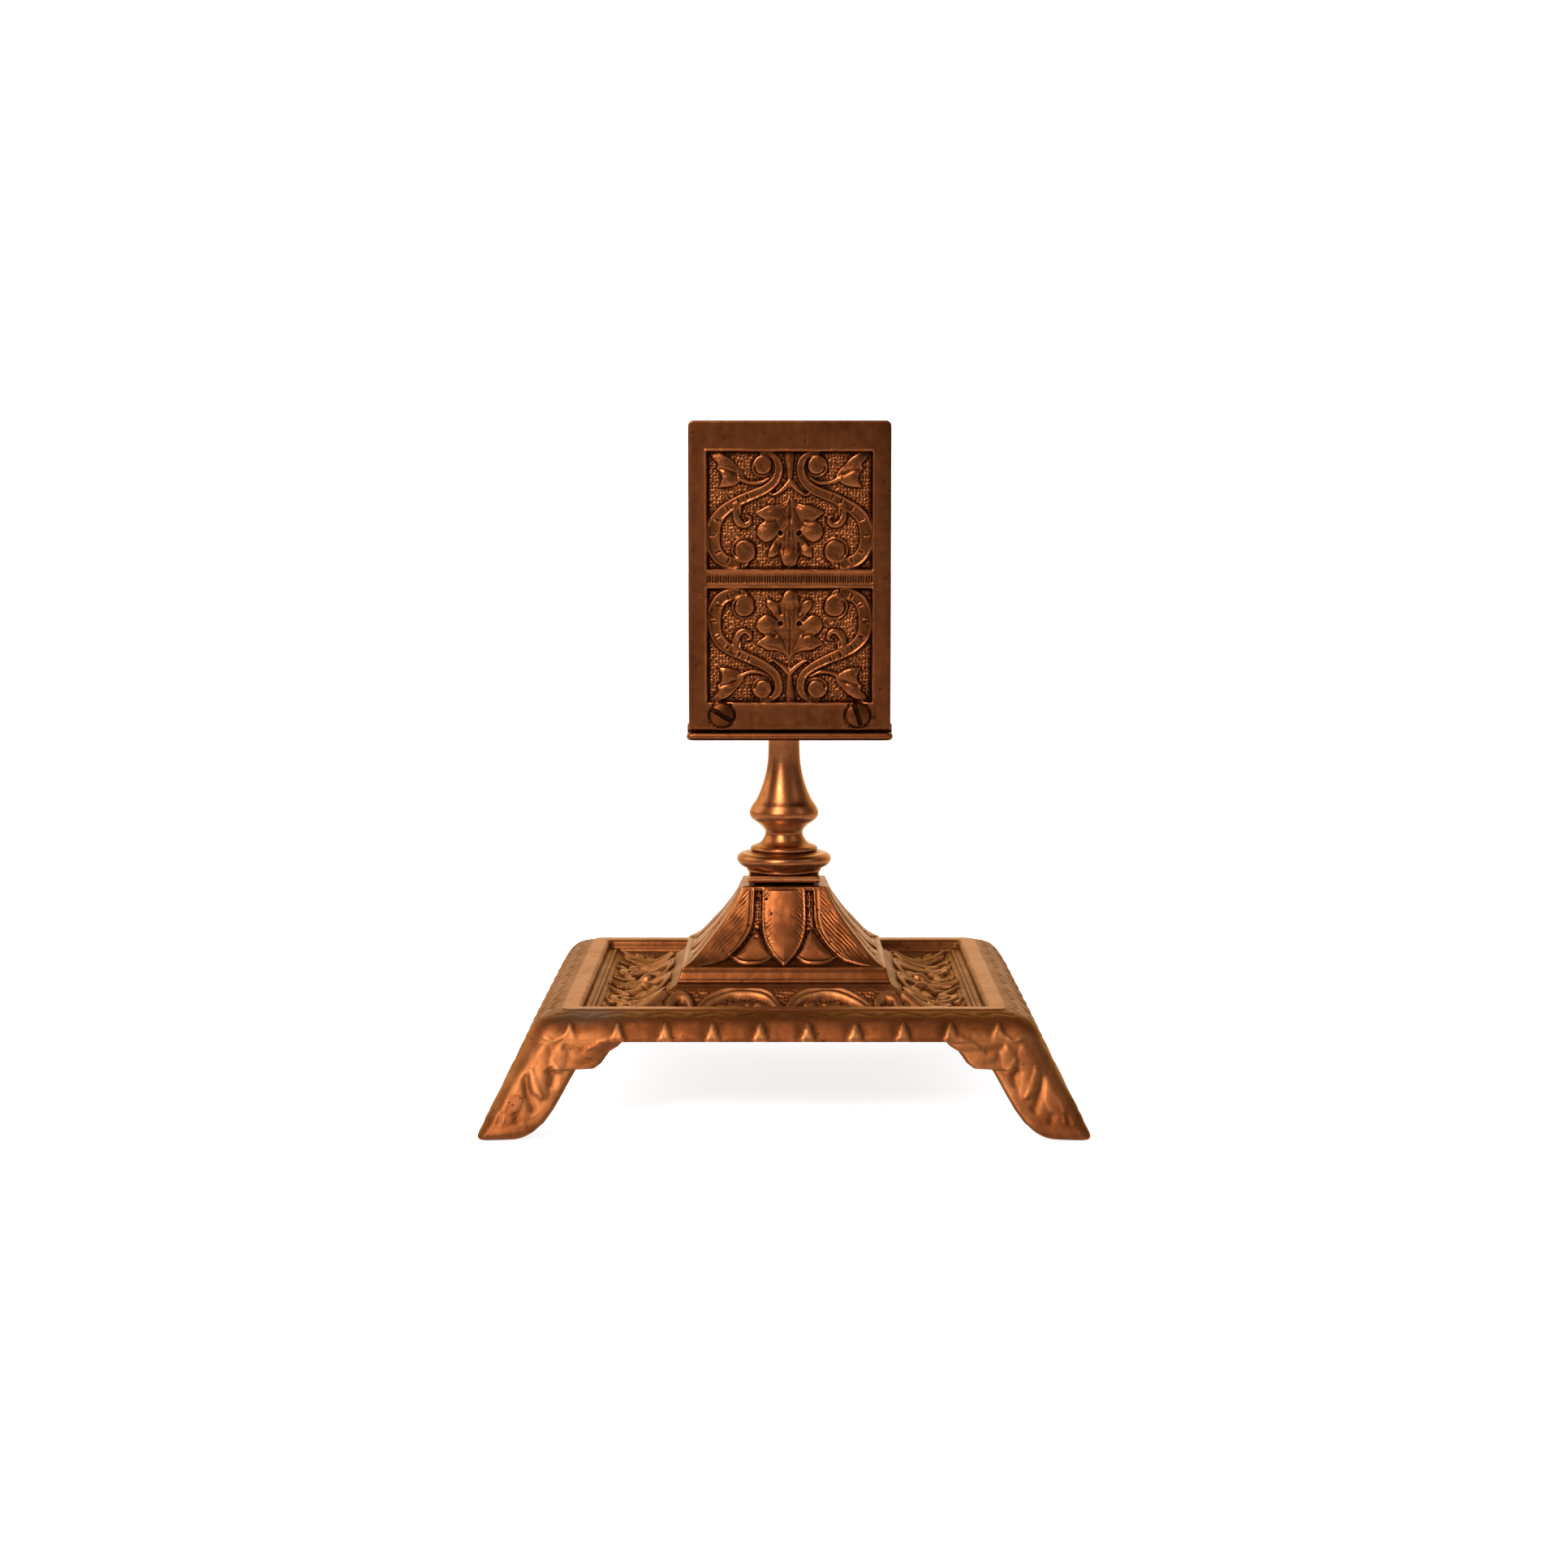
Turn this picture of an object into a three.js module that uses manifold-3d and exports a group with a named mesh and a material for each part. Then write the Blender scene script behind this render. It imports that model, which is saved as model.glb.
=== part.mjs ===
// Brass matchbox holder on a footed stand, millimetres, +Z up.
// Origin: centre of the square footprint, on the surface that the four feet stand on.
// The front is the -Y side. Base, pyramid, collar and stem share the Z axis.
import * as THREE from "three";
import { mergeVertices } from "three/addons/utils/BufferGeometryUtils.js";
import Module from "manifold-3d";

const wasm = await Module();
wasm.setup();

// ---------------------------------------------------------------- driving dimensions
const SEAT_GAP = 0.05; // between faces that rest on each other
const RUNNING_GAP = 0.08; // radial, between a screw and its hole
const ROUND_SIDES = 40;
const SCREW_SIDES = 20;

const base = {
  half: 47.3, // outer bottom edge of the leaf border
  bottom: 16.4,
  top: 21.3, // flat fillet round the dish
  filletOuter: 40.7,
  filletInner: 37.2,
  dishOuter: 35.7, // foot of the bevel inside the fillet
  dishOuterZ: 19.8,
  trough: 30.2,
  troughZ: 17.0,
  platform: 21.6, // raised square that the pyramid stands on
  platformZ: 22.2,
  wall: 2.2,
  borderWall: 3.2,
  cornerRadius: 4.4,
};
const foot = {
  splay: 0.505, // outward travel per millimetre of drop
  wall: 3.2,
  toeRound: 0.9,
  arrisCut: 1.2, // taken off the corner, along the diagonal
  overlap: 1.0, // height by which a foot runs up into the border
};
const pyramid = {
  half: 20.45,
  plinthHalf: 19.4,
  plinthZ: 25.6,
  topHalf: 8.3,
  topZ: 39.3,
  wall: 2.0,
  roof: 2.4,
};
const collar = {
  spigotHalf: 5.9,
  shadowLine: 0.5, // height of the recess under the square cap
  capHalf: 7.05,
  capTop: 41.2,
  top: 45.4,
};
const stem = { top: 68.15, spigotTop: 75.6, spigotRadius: 2.0 };
const rod = { radius: 2.0, bottom: 13.6, top: 53.4 };
const washer = { radius: 8.5, thickness: 1.2 };
const nut = { acrossFlats: 8.4, height: 3.2 };
const caseShift = 1.1; // the case is fixed a little to the right of the stem's axis
const tray = {
  halfWidth: 19.95,
  halfDepth: 11.75,
  bottom: 68.2,
  top: 69.8,
  lipHeight: 1.5,
  lipWidth: 0.8,
};
const plate = {
  halfWidth: 19.5,
  bottom: 70.25,
  top: 129.6,
  inner: 8.8, // inner faces at Y = +-inner
  thickness: 2.4,
  pocketHalf: 15.9,
  pocketBottom: 75.6,
  pocketTop: 123.7,
  pocketDepth: 1.1,
  barZ: 99.4,
  barHeight: 3.6,
};
const block = { halfWidth: 18.9, halfDepth: 8.75, height: 6.4 };
const screw = {
  x: 13.1,
  z: 73.2,
  headRadius: 2.4,
  headHeight: 1.35,
  radius: 1.25,
  grip: 5.2, // length inside the seat block
  slotWidth: 0.75,
  slotDepth: 0.8,
};
const slotTurns = { front_left: -30, front_right: 100, back_left: 15, back_right: 60 };

// ---------------------------------------------------------------- materials
const agedBrass = new THREE.MeshStandardMaterial({
  color: 0x9a5f30,
  roughness: 0.42,
  metalness: 1,
});
const turnedBrass = new THREE.MeshStandardMaterial({
  color: 0xa86a36,
  roughness: 0.3,
  metalness: 1,
});
const darkBrass = new THREE.MeshStandardMaterial({
  color: 0x7c4a26,
  roughness: 0.5,
  metalness: 1,
});
const iron = new THREE.MeshStandardMaterial({
  color: 0x4a443e,
  roughness: 0.6,
  metalness: 1,
});

// ---------------------------------------------------------------- shape helpers
// A closed geometry as a manifold-3d solid.
function solid(geometry) {
  const plain = new THREE.BufferGeometry().setAttribute(
    "position",
    (geometry.index ? geometry.toNonIndexed() : geometry).getAttribute("position"),
  );
  const merged = mergeVertices(plain, 1e-4);
  return new wasm.Manifold(
    new wasm.Mesh({
      numProp: 3,
      vertProperties: merged.attributes.position.array,
      triVerts: new Uint32Array(merged.index.array),
    }),
  );
}

// A manifold-3d solid as a geometry.
function geometryOf(made) {
  const mesh = made.getMesh();
  return new THREE.BufferGeometry()
    .setAttribute("position", new THREE.BufferAttribute(mesh.vertProperties, 3))
    .setIndex(new THREE.BufferAttribute(mesh.triVerts, 1));
}

// A profile of [radius, z] points, turned about the Z axis.
function turned(profile, sides = ROUND_SIDES) {
  const points = profile.map(([r, z]) => new THREE.Vector2(r, z));
  return solid(new THREE.LatheGeometry(points, sides).rotateX(Math.PI / 2));
}

// A profile of [half width, z] points, swept round a square with mitred corners.
function squareTurned(profile) {
  const points = profile.map(([u, z]) => new THREE.Vector2(u * Math.SQRT2, z));
  const sweep = new THREE.LatheGeometry(points, 4, Math.PI / 4);
  return solid(sweep.rotateX(Math.PI / 2));
}

function box(x0, x1, y0, y1, z0, z1) {
  const made = new THREE.BoxGeometry(x1 - x0, y1 - y0, z1 - z0);
  return solid(made.translate((x0 + x1) / 2, (y0 + y1) / 2, (z0 + z1) / 2));
}

function rodAlongZ(radius, z0, z1, sides = ROUND_SIDES) {
  return turned([[0, z0], [radius, z0], [radius, z1], [0, z1]], sides);
}

// Points of a quarter-turn or shallower arc between two points, bulging by sag to the left of the way.
function arcPoints([x0, y0], [x1, y1], sag, steps) {
  const [mx, my] = [(x0 + x1) / 2, (y0 + y1) / 2];
  const length = Math.hypot(x1 - x0, y1 - y0);
  const [nx, ny] = [-(y1 - y0) / length, (x1 - x0) / length];
  const curve = new THREE.QuadraticBezierCurve(
    new THREE.Vector2(x0, y0),
    new THREE.Vector2(mx + 2 * sag * nx, my + 2 * sag * ny),
    new THREE.Vector2(x1, y1),
  );
  return curve.getPoints(steps).map((p) => [p.x, p.y]);
}

// A flat outline in X and Z, extruded along Y from y0 to y1.
function outlineAlongY(shape, y0, y1, curveSegments = 8) {
  const made = new THREE.ExtrudeGeometry(shape, {
    depth: y1 - y0,
    bevelEnabled: false,
    curveSegments,
  });
  return solid(made.rotateX(Math.PI / 2).translate(0, y1, 0));
}

function roundedSquare(half, radius) {
  const shape = new THREE.Shape();
  shape.moveTo(half, -half + radius);
  shape.lineTo(half, half - radius);
  shape.absarc(half - radius, half - radius, radius, 0, Math.PI / 2);
  shape.lineTo(-half + radius, half);
  shape.absarc(-half + radius, half - radius, radius, Math.PI / 2, Math.PI);
  shape.lineTo(-half, -half + radius);
  shape.absarc(-half + radius, -half + radius, radius, Math.PI, 1.5 * Math.PI);
  shape.lineTo(half - radius, -half);
  shape.absarc(half - radius, -half + radius, radius, 1.5 * Math.PI, 2 * Math.PI);
  return shape;
}

function mesh(name, made, material) {
  const node = new THREE.Mesh(geometryOf(made), material);
  node.name = name;
  return node;
}

// ---------------------------------------------------------------- base and feet
// The dished square: leaf border, flat fillet, cove, and a raised platform in the middle.
function basePlate() {
  const b = base;
  const cove = [
    ...arcPoints([b.platform, b.platformZ - 0.4], [b.trough, b.troughZ], -1.0, 5),
    ...arcPoints([b.trough, b.troughZ], [b.dishOuter, b.dishOuterZ], -0.4, 4).slice(1),
  ];
  const border = arcPoints([b.filletOuter + 0.4, b.top - 0.5], [b.half, b.bottom + 0.6], 0.55, 4);
  const top = [
    [0, b.platformZ],
    [b.platform - 0.3, b.platformZ],
    ...cove,
    [b.filletInner, b.top],
    [b.filletOuter, b.top],
    ...border,
    [b.half, b.bottom],
  ];
  const under = [
    [b.half - b.borderWall, b.bottom],
    [b.filletInner + 0.6, b.top - b.wall],
    [b.dishOuter + 0.4, b.dishOuterZ - b.wall],
    [b.trough + 0.6, b.troughZ - b.wall],
    [b.trough - 1.4, b.troughZ - b.wall + 0.1],
    [b.platform - 1.2, b.platformZ - b.wall - 0.3],
    [b.platform - 2.2, b.platformZ - b.wall],
    [0, b.platformZ - b.wall],
  ];
  const rounding = new THREE.ExtrudeGeometry(roundedSquare(b.half, b.cornerRadius), {
    depth: 30,
    bevelEnabled: false,
    curveSegments: 6,
  });
  return squareTurned([...top, ...under].reverse())
    .intersect(solid(rounding))
    .subtract(rodAlongZ(rod.radius + 0.3, 0, 30, 24));
}

// The cut edge of a foot, seen square on: distance from the centre line and height.
function footOutline() {
  const shape = new THREE.Shape();
  const reach = 60;
  const top = base.bottom + foot.overlap + 1;
  shape.moveTo(reach, -1);
  shape.lineTo(reach, top);
  shape.lineTo(28.7, top);
  shape.lineTo(29.3, base.bottom);
  shape.bezierCurveTo(29.9, 15.5, 31.5, 15.2, 32.0, 14.2);
  shape.bezierCurveTo(32.3, 12.9, 33.1, 11.8, 34.3, 11.7);
  shape.lineTo(37.6, 11.8);
  shape.bezierCurveTo(39.7, 7.7, 41.7, 3.4, 44.8, 1.4);
  shape.bezierCurveTo(46.0, 0.6, 47.0, 0.1, 48.3, 0);
  shape.lineTo(48.3, -1);
  return shape;
}

// The bracket foot at the +X +Y corner: two splayed wings that meet on the diagonal.
function cornerFoot() {
  const { splay, wall, toeRound, arrisCut, overlap } = foot;
  const joint = base.bottom;
  const reachAt = (z) => base.half + splay * (joint - z);
  const outer = squareTurned([
    [0, 0],
    [reachAt(0) - toeRound, 0],
    [reachAt(toeRound), toeRound],
    [reachAt(joint), joint],
    [reachAt(joint) - 1.8, joint + overlap],
    [0, joint + overlap],
  ]);
  const inner = squareTurned([
    [0, -1],
    [reachAt(-1) - wall, -1],
    [reachAt(joint + 2) - wall, joint + 2],
    [0, joint + 2],
  ]);
  const diagonal = (z) => reachAt(z) * Math.SQRT2 - arrisCut;
  const arris = squareTurned([
    [0, -1],
    [diagonal(-1), -1],
    [diagonal(joint + 2), joint + 2],
    [0, joint + 2],
  ]).rotate([0, 0, 45]);
  const shell = outer.subtract(inner).intersect(arris);
  const wing = shell
    .intersect(outlineAlongY(footOutline(), 20, 60))
    .trimByPlane([-Math.SQRT1_2, Math.SQRT1_2, 0], -0.05);
  return wing.add(wing.mirror([1, -1, 0]));
}

// Plate and feet are one casting.
function baseCasting() {
  let made = basePlate();
  for (const degrees of [0, 90, 180, 270]) {
    made = made.add(cornerFoot().rotate([0, 0, degrees]));
  }
  return made;
}

// ---------------------------------------------------------------- pyramid, collar and stem
// A hollow square casting with concave sides on a flared plinth, open underneath.
function pyramidCasting() {
  const p = pyramid;
  const seat = base.platformZ + SEAT_GAP;
  const side = arcPoints([p.plinthHalf - 0.2, p.plinthZ + 0.3], [p.topHalf, p.topZ - 0.3], 1.4, 8);
  const inside = arcPoints([p.topHalf - 1.7, p.topZ - p.roof], [p.plinthHalf - 3.0, p.plinthZ], -1.4, 6);
  return squareTurned([
    [0, p.topZ - p.roof],
    ...inside,
    [p.half - p.wall, seat],
    [p.half, seat],
    [p.plinthHalf, p.plinthZ],
    ...side,
    [p.topHalf - 0.3, p.topZ],
    [0, p.topZ],
  ]).subtract(rodAlongZ(rod.radius + 0.3, 0, 60, 24));
}

// A square cap under turned mouldings and a wide flange.
function collarPiece() {
  const c = collar;
  const foundation = pyramid.topZ + SEAT_GAP;
  const cap = squareTurned([
    [0, foundation],
    [c.spigotHalf, foundation],
    [c.spigotHalf, foundation + c.shadowLine],
    [c.capHalf - 0.1, foundation + c.shadowLine],
    [c.capHalf, foundation + c.shadowLine + 0.1],
    [c.capHalf, c.capTop - 0.25],
    [c.capHalf - 0.25, c.capTop],
    [0, c.capTop],
  ]);
  const mouldings = turned([
    [0, c.capTop - 0.3],
    [6.6, c.capTop - 0.3],
    [6.7, c.capTop + 0.1],
    [7.3, c.capTop + 0.25],
    ...arcPoints([7.35, c.capTop + 0.35], [7.3, c.capTop + 0.8], -0.12, 2),
    [7.6, c.capTop + 0.85],
    ...arcPoints([8.5, c.capTop + 1.4], [8.3, c.top - 0.35], -0.95, 7),
    [6.95, c.top - 0.15],
    [6.9, c.top],
    [0, c.top],
  ]);
  return cap.add(mouldings).subtract(rodAlongZ(rod.radius + 0.3, 0, 60, 24));
}

// The turned baluster, tapped below for the tie rod, with a threaded spigot above.
function stemPiece() {
  const bottom = collar.top + SEAT_GAP;
  const outline = new THREE.SplineCurve(
    [
      [6.0, 46.5],
      [4.15, 47.75],
      [3.7, 49.15],
      [4.7, 50.45],
      [6.4, 51.75],
      [6.85, 53.05],
      [6.35, 54.35],
      [5.0, 56.3],
      [3.95, 59.4],
      [3.25, 63.2],
      [3.05, stem.top],
    ].map(([r, z]) => new THREE.Vector2(r, z)),
  );
  const made = turned([
    [0, bottom],
    [6.3, bottom],
    ...arcPoints([6.5, bottom + 0.15], [6.35, bottom + 0.95], -0.28, 4),
    ...outline.getPoints(30).map((point) => [point.x, point.y]),
    [stem.spigotRadius, stem.top],
    [stem.spigotRadius, stem.spigotTop - 0.4],
    [stem.spigotRadius - 0.4, stem.spigotTop],
    [0, stem.spigotTop],
  ]);
  return made.subtract(rodAlongZ(rod.radius + RUNNING_GAP, 0, rod.top + 0.6, 24));
}

function tieRod() {
  const { radius, bottom, top } = rod;
  return turned(
    [[0, bottom], [radius - 0.4, bottom], [radius, bottom + 0.4], [radius, top - 0.4], [radius - 0.4, top], [0, top]],
    24,
  );
}

const washerTop = base.platformZ - base.wall - SEAT_GAP;
const nutTop = washerTop - washer.thickness - SEAT_GAP;

function washerPiece() {
  const disc = rodAlongZ(washer.radius, washerTop - washer.thickness, washerTop);
  return disc.subtract(rodAlongZ(rod.radius + 0.3, 0, 60, 24));
}

// A square nut with its lower corners rounded off.
function nutPiece() {
  const half = nut.acrossFlats / 2;
  const square = box(-half, half, -half, half, nutTop - nut.height, nutTop);
  const crown = turned([
    [0, nutTop - nut.height],
    [half, nutTop - nut.height],
    [half * 1.45, nutTop - nut.height + 1.1],
    [half * 1.45, nutTop + 1],
    [0, nutTop + 1],
  ]);
  return square
    .intersect(crown)
    .subtract(rodAlongZ(rod.radius + RUNNING_GAP, 0, 60, 24));
}

// ---------------------------------------------------------------- case
// The tray under the case: a rounded bead round its edge and a low lip at each end.
function trayPiece() {
  const t = tray;
  const middle = (t.bottom + t.top) / 2;
  const section = (half) => {
    const shape = new THREE.Shape();
    shape.moveTo(-half + 0.5, t.bottom);
    shape.lineTo(half - 0.5, t.bottom);
    shape.quadraticCurveTo(half, t.bottom + 0.1, half, middle);
    shape.quadraticCurveTo(half, t.top - 0.1, half - 0.5, t.top);
    shape.lineTo(-half + 0.5, t.top);
    shape.quadraticCurveTo(-half, t.top - 0.1, -half, middle);
    shape.quadraticCurveTo(-half, t.bottom + 0.1, -half + 0.5, t.bottom);
    return shape;
  };
  const across = outlineAlongY(section(t.halfWidth), -t.halfDepth, t.halfDepth, 4);
  const along = outlineAlongY(section(t.halfDepth), -t.halfWidth, t.halfWidth, 4);
  const lipInner = t.halfWidth - 0.1 - t.lipWidth;
  const lipEnd = plate.inner - 0.1;
  const lip = box(lipInner, t.halfWidth - 0.1, -lipEnd, lipEnd, middle, t.top + t.lipHeight);
  return across
    .intersect(along.rotate([0, 0, 90]))
    .add(lip)
    .add(lip.rotate([0, 0, 180]))
    .subtract(rodAlongZ(stem.spigotRadius + 0.15, 0, 80, 24).translate([-caseShift, 0, 0]));
}

// The block between the plates: the case screws to it and a matchbox stands on it.
function seatBlock() {
  const b = block;
  const bottom = tray.top + SEAT_GAP;
  const body = box(-b.halfWidth, b.halfWidth, -b.halfDepth, b.halfDepth, bottom, bottom + b.height);
  const tapping = turned(
    [[0, -30], [screw.radius + RUNNING_GAP, -30], [screw.radius + RUNNING_GAP, 30], [0, 30]],
    SCREW_SIDES,
  ).rotate([90, 0, 0]);
  return body
    .subtract(rodAlongZ(stem.spigotRadius + RUNNING_GAP, 0, 90, 24).translate([-caseShift, 0, 0]))
    .subtract(tapping.translate([screw.x, 0, screw.z]))
    .subtract(tapping.translate([-screw.x, 0, screw.z]));
}

// A case plate at the back, facing +Y: a frame with two sunk panels and a bar between them.
function casePlate() {
  const p = plate;
  const face = p.inner + p.thickness;
  const outline = new THREE.Shape();
  const r = 0.8;
  outline.moveTo(-p.halfWidth + 0.3, p.bottom);
  outline.lineTo(p.halfWidth - 0.3, p.bottom);
  outline.lineTo(p.halfWidth, p.bottom + 0.6);
  outline.lineTo(p.halfWidth, p.top - r);
  outline.absarc(p.halfWidth - r, p.top - r, r, 0, Math.PI / 2);
  outline.lineTo(-p.halfWidth + r, p.top);
  outline.absarc(-p.halfWidth + r, p.top - r, r, Math.PI / 2, Math.PI);
  outline.lineTo(-p.halfWidth, p.bottom + 0.6);
  const pocket = (z0, z1) => {
    const bevel = 0.3;
    const made = box(-p.pocketHalf, p.pocketHalf, face - p.pocketDepth, face + 1, z0, z1);
    const mouth = box(-p.pocketHalf - bevel, p.pocketHalf + bevel, face - 0.3, face + 1, z0 - bevel, z1 + bevel);
    return made.add(mouth);
  };
  const hole = turned([[0, 0], [screw.radius + 0.2, 0], [screw.radius + 0.2, 30], [0, 30]], SCREW_SIDES)
    .rotate([-90, 0, 0])
    .translate([0, 0, screw.z]);
  return outlineAlongY(outline, p.inner, face)
    .subtract(pocket(p.pocketBottom, p.barZ - p.barHeight / 2))
    .subtract(pocket(p.barZ + p.barHeight / 2, p.pocketTop))
    .subtract(hole.translate([screw.x, 0, 0]))
    .subtract(hole.translate([-screw.x, 0, 0]));
}

// A slotted round-head screw pointing along -Y, its head on the plane Y = 0, slot turned by degrees.
function plateScrew(degrees) {
  const s = screw;
  const dome = arcPoints([s.headRadius, 0.35], [0, s.headHeight], -0.32, 5);
  const body = turned(
    [
      [0, -plate.thickness - s.grip],
      [s.radius - 0.3, -plate.thickness - s.grip],
      [s.radius, -plate.thickness - s.grip + 0.3],
      [s.radius, 0],
      [s.headRadius - 0.05, 0],
      ...dome,
    ],
    SCREW_SIDES,
  );
  const slot = box(-5, 5, -s.slotWidth / 2, s.slotWidth / 2, s.headHeight - s.slotDepth, 5);
  return body.subtract(slot.rotate([0, 0, degrees])).rotate([-90, 0, 0]);
}

// ---------------------------------------------------------------- assembly
const holder = new THREE.Group();
holder.add(mesh("base_casting", baseCasting(), agedBrass));
holder.add(mesh("pyramid", pyramidCasting(), agedBrass));
holder.add(mesh("collar", collarPiece(), turnedBrass));
holder.add(mesh("stem", stemPiece(), turnedBrass));
holder.add(mesh("tie_rod", tieRod(), iron));
holder.add(mesh("base_washer", washerPiece(), darkBrass));
holder.add(mesh("base_nut", nutPiece(), darkBrass));

const matchCase = new THREE.Group();
matchCase.position.x = caseShift;
holder.add(matchCase);
matchCase.add(mesh("case_tray", trayPiece(), agedBrass));
matchCase.add(mesh("seat_block", seatBlock(), darkBrass));
matchCase.add(mesh("back_plate", casePlate(), agedBrass));
matchCase.add(mesh("front_plate", casePlate().rotate([0, 0, 180]), agedBrass));

const headPlane = plate.inner + plate.thickness + SEAT_GAP;
for (const [place, degrees] of Object.entries(slotTurns)) {
  const front = place.startsWith("front");
  const x = place.endsWith("left") ? -screw.x : screw.x;
  const made = front ? plateScrew(degrees).rotate([0, 0, 180]) : plateScrew(degrees);
  const node = mesh("screw_" + place, made, turnedBrass);
  node.position.set(x, front ? -headPlane : headPlane, screw.z);
  matchCase.add(node);
}

export default holder;
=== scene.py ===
"""Looks of a brass matchbox holder: cast relief plates, pyramid and dished base, turned stem, studio."""

import math

import bpy
import numpy as np
from mathutils import Euler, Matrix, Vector


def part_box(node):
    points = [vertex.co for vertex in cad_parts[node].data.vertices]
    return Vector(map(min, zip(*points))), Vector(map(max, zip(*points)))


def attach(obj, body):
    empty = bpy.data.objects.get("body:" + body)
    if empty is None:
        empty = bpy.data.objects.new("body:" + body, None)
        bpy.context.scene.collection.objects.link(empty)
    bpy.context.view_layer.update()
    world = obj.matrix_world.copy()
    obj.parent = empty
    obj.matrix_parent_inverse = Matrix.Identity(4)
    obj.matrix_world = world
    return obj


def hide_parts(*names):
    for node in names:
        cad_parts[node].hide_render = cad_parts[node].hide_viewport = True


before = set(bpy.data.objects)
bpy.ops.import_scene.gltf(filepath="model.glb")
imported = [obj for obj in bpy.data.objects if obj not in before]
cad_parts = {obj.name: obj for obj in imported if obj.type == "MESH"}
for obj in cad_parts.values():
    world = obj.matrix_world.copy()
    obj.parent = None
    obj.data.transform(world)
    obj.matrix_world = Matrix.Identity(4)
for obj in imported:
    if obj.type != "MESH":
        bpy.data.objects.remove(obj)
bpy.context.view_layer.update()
MM = 0.001


def span(node):
    """Lowest and highest corners of a CAD node, in millimetres."""
    lo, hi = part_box(node)
    return [v / MM for v in lo], [v / MM for v in hi]


# ------------------------------------------------------------------ numbers and curves
def unit(v):
    return np.clip(v, 0, 1)


def smooth(v, lo, hi):
    """0 below lo, 1 above hi, and a soft step between."""
    t = unit((v - lo) / (hi - lo))
    return t * t * (3 - 2 * t)


def dome(q):
    """A quarter circle: 0 at the edge, where q is 0, and 1 from q = 1 on."""
    return np.sqrt(1 - (1 - unit(q)) ** 2)


def ridge(d, width):
    """1 where d is 0, running out softly to both sides."""
    return np.exp(-((d / width) ** 2))


def pitted(h, x, y, pits, depth, floor):
    """Heights with round pits (x, y, radius). floor is the share of the radius that lies at full depth."""
    for px, py, radius in pits:
        h = h - depth * smooth(-np.hypot(x - px, y - py), -radius, -radius * floor)
    return h


def pairs(items):
    return zip(items[:-1], items[1:])


def spline(points, steps=9):
    """Catmull-Rom curve through the points."""
    p = np.array(points, float)
    p = np.vstack([2 * p[0] - p[1], p, 2 * p[-1] - p[-2]])
    t = np.linspace(0, 1, steps, endpoint=False)[:, None]
    out = []
    for a, b, c, d in zip(p[:-3], p[1:-2], p[2:-1], p[3:]):
        out.append(
            0.5 * (2 * b + (c - a) * t + (2 * a - 5 * b + 4 * c - d) * t**2 + (3 * b - a - 3 * c + d) * t**3)
        )
    return np.vstack(out + [p[-2:-1]])


class Noise:
    """Smooth value noise on a plane, the same every time."""

    def __init__(self, seed):
        self.table = np.random.RandomState(seed).rand(64, 64)

    def __call__(self, x, y):
        xi, yi = np.floor(x).astype(int), np.floor(y).astype(int)
        fx, fy = x - xi, y - yi
        fx, fy = fx * fx * (3 - 2 * fx), fy * fy * (3 - 2 * fy)
        g = lambda i, j: self.table[(xi + i) % 64, (yi + j) % 64]
        low = g(0, 0) * (1 - fx) + g(1, 0) * fx
        high = g(0, 1) * (1 - fx) + g(1, 1) * fx
        return low * (1 - fy) + high * fy

    def sway(self, x, y, scale, shift=0):
        """The noise about zero, up and down by a half."""
        return self(x * scale + shift, y * scale) - 0.5


noise_a, noise_b = Noise(3), Noise(11)
VEIN_WIDTH = 0.22  # of the line cut along the middle of a leaf


def punched(x, y, cell, seed=5):
    """Ground of small punch marks: 0 in a pit, 1 on the metal between."""
    table = np.random.RandomState(seed).rand(64, 64, 2)
    xi, yi = np.floor(x / cell).astype(int), np.floor(y / cell).astype(int)
    best = np.full(x.shape, 9.0)
    for i in (-1, 0, 1):
        for j in (-1, 0, 1):
            c = table[(xi + i) % 64, (yi + j) % 64]
            dx = x / cell - (xi + i + 0.2 + 0.6 * c[..., 0])
            dy = y / cell - (yi + j + 0.2 + 0.6 * c[..., 1])
            best = np.minimum(best, dx * dx + dy * dy)
    return smooth(np.sqrt(best), 0.12, 0.5)


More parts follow.
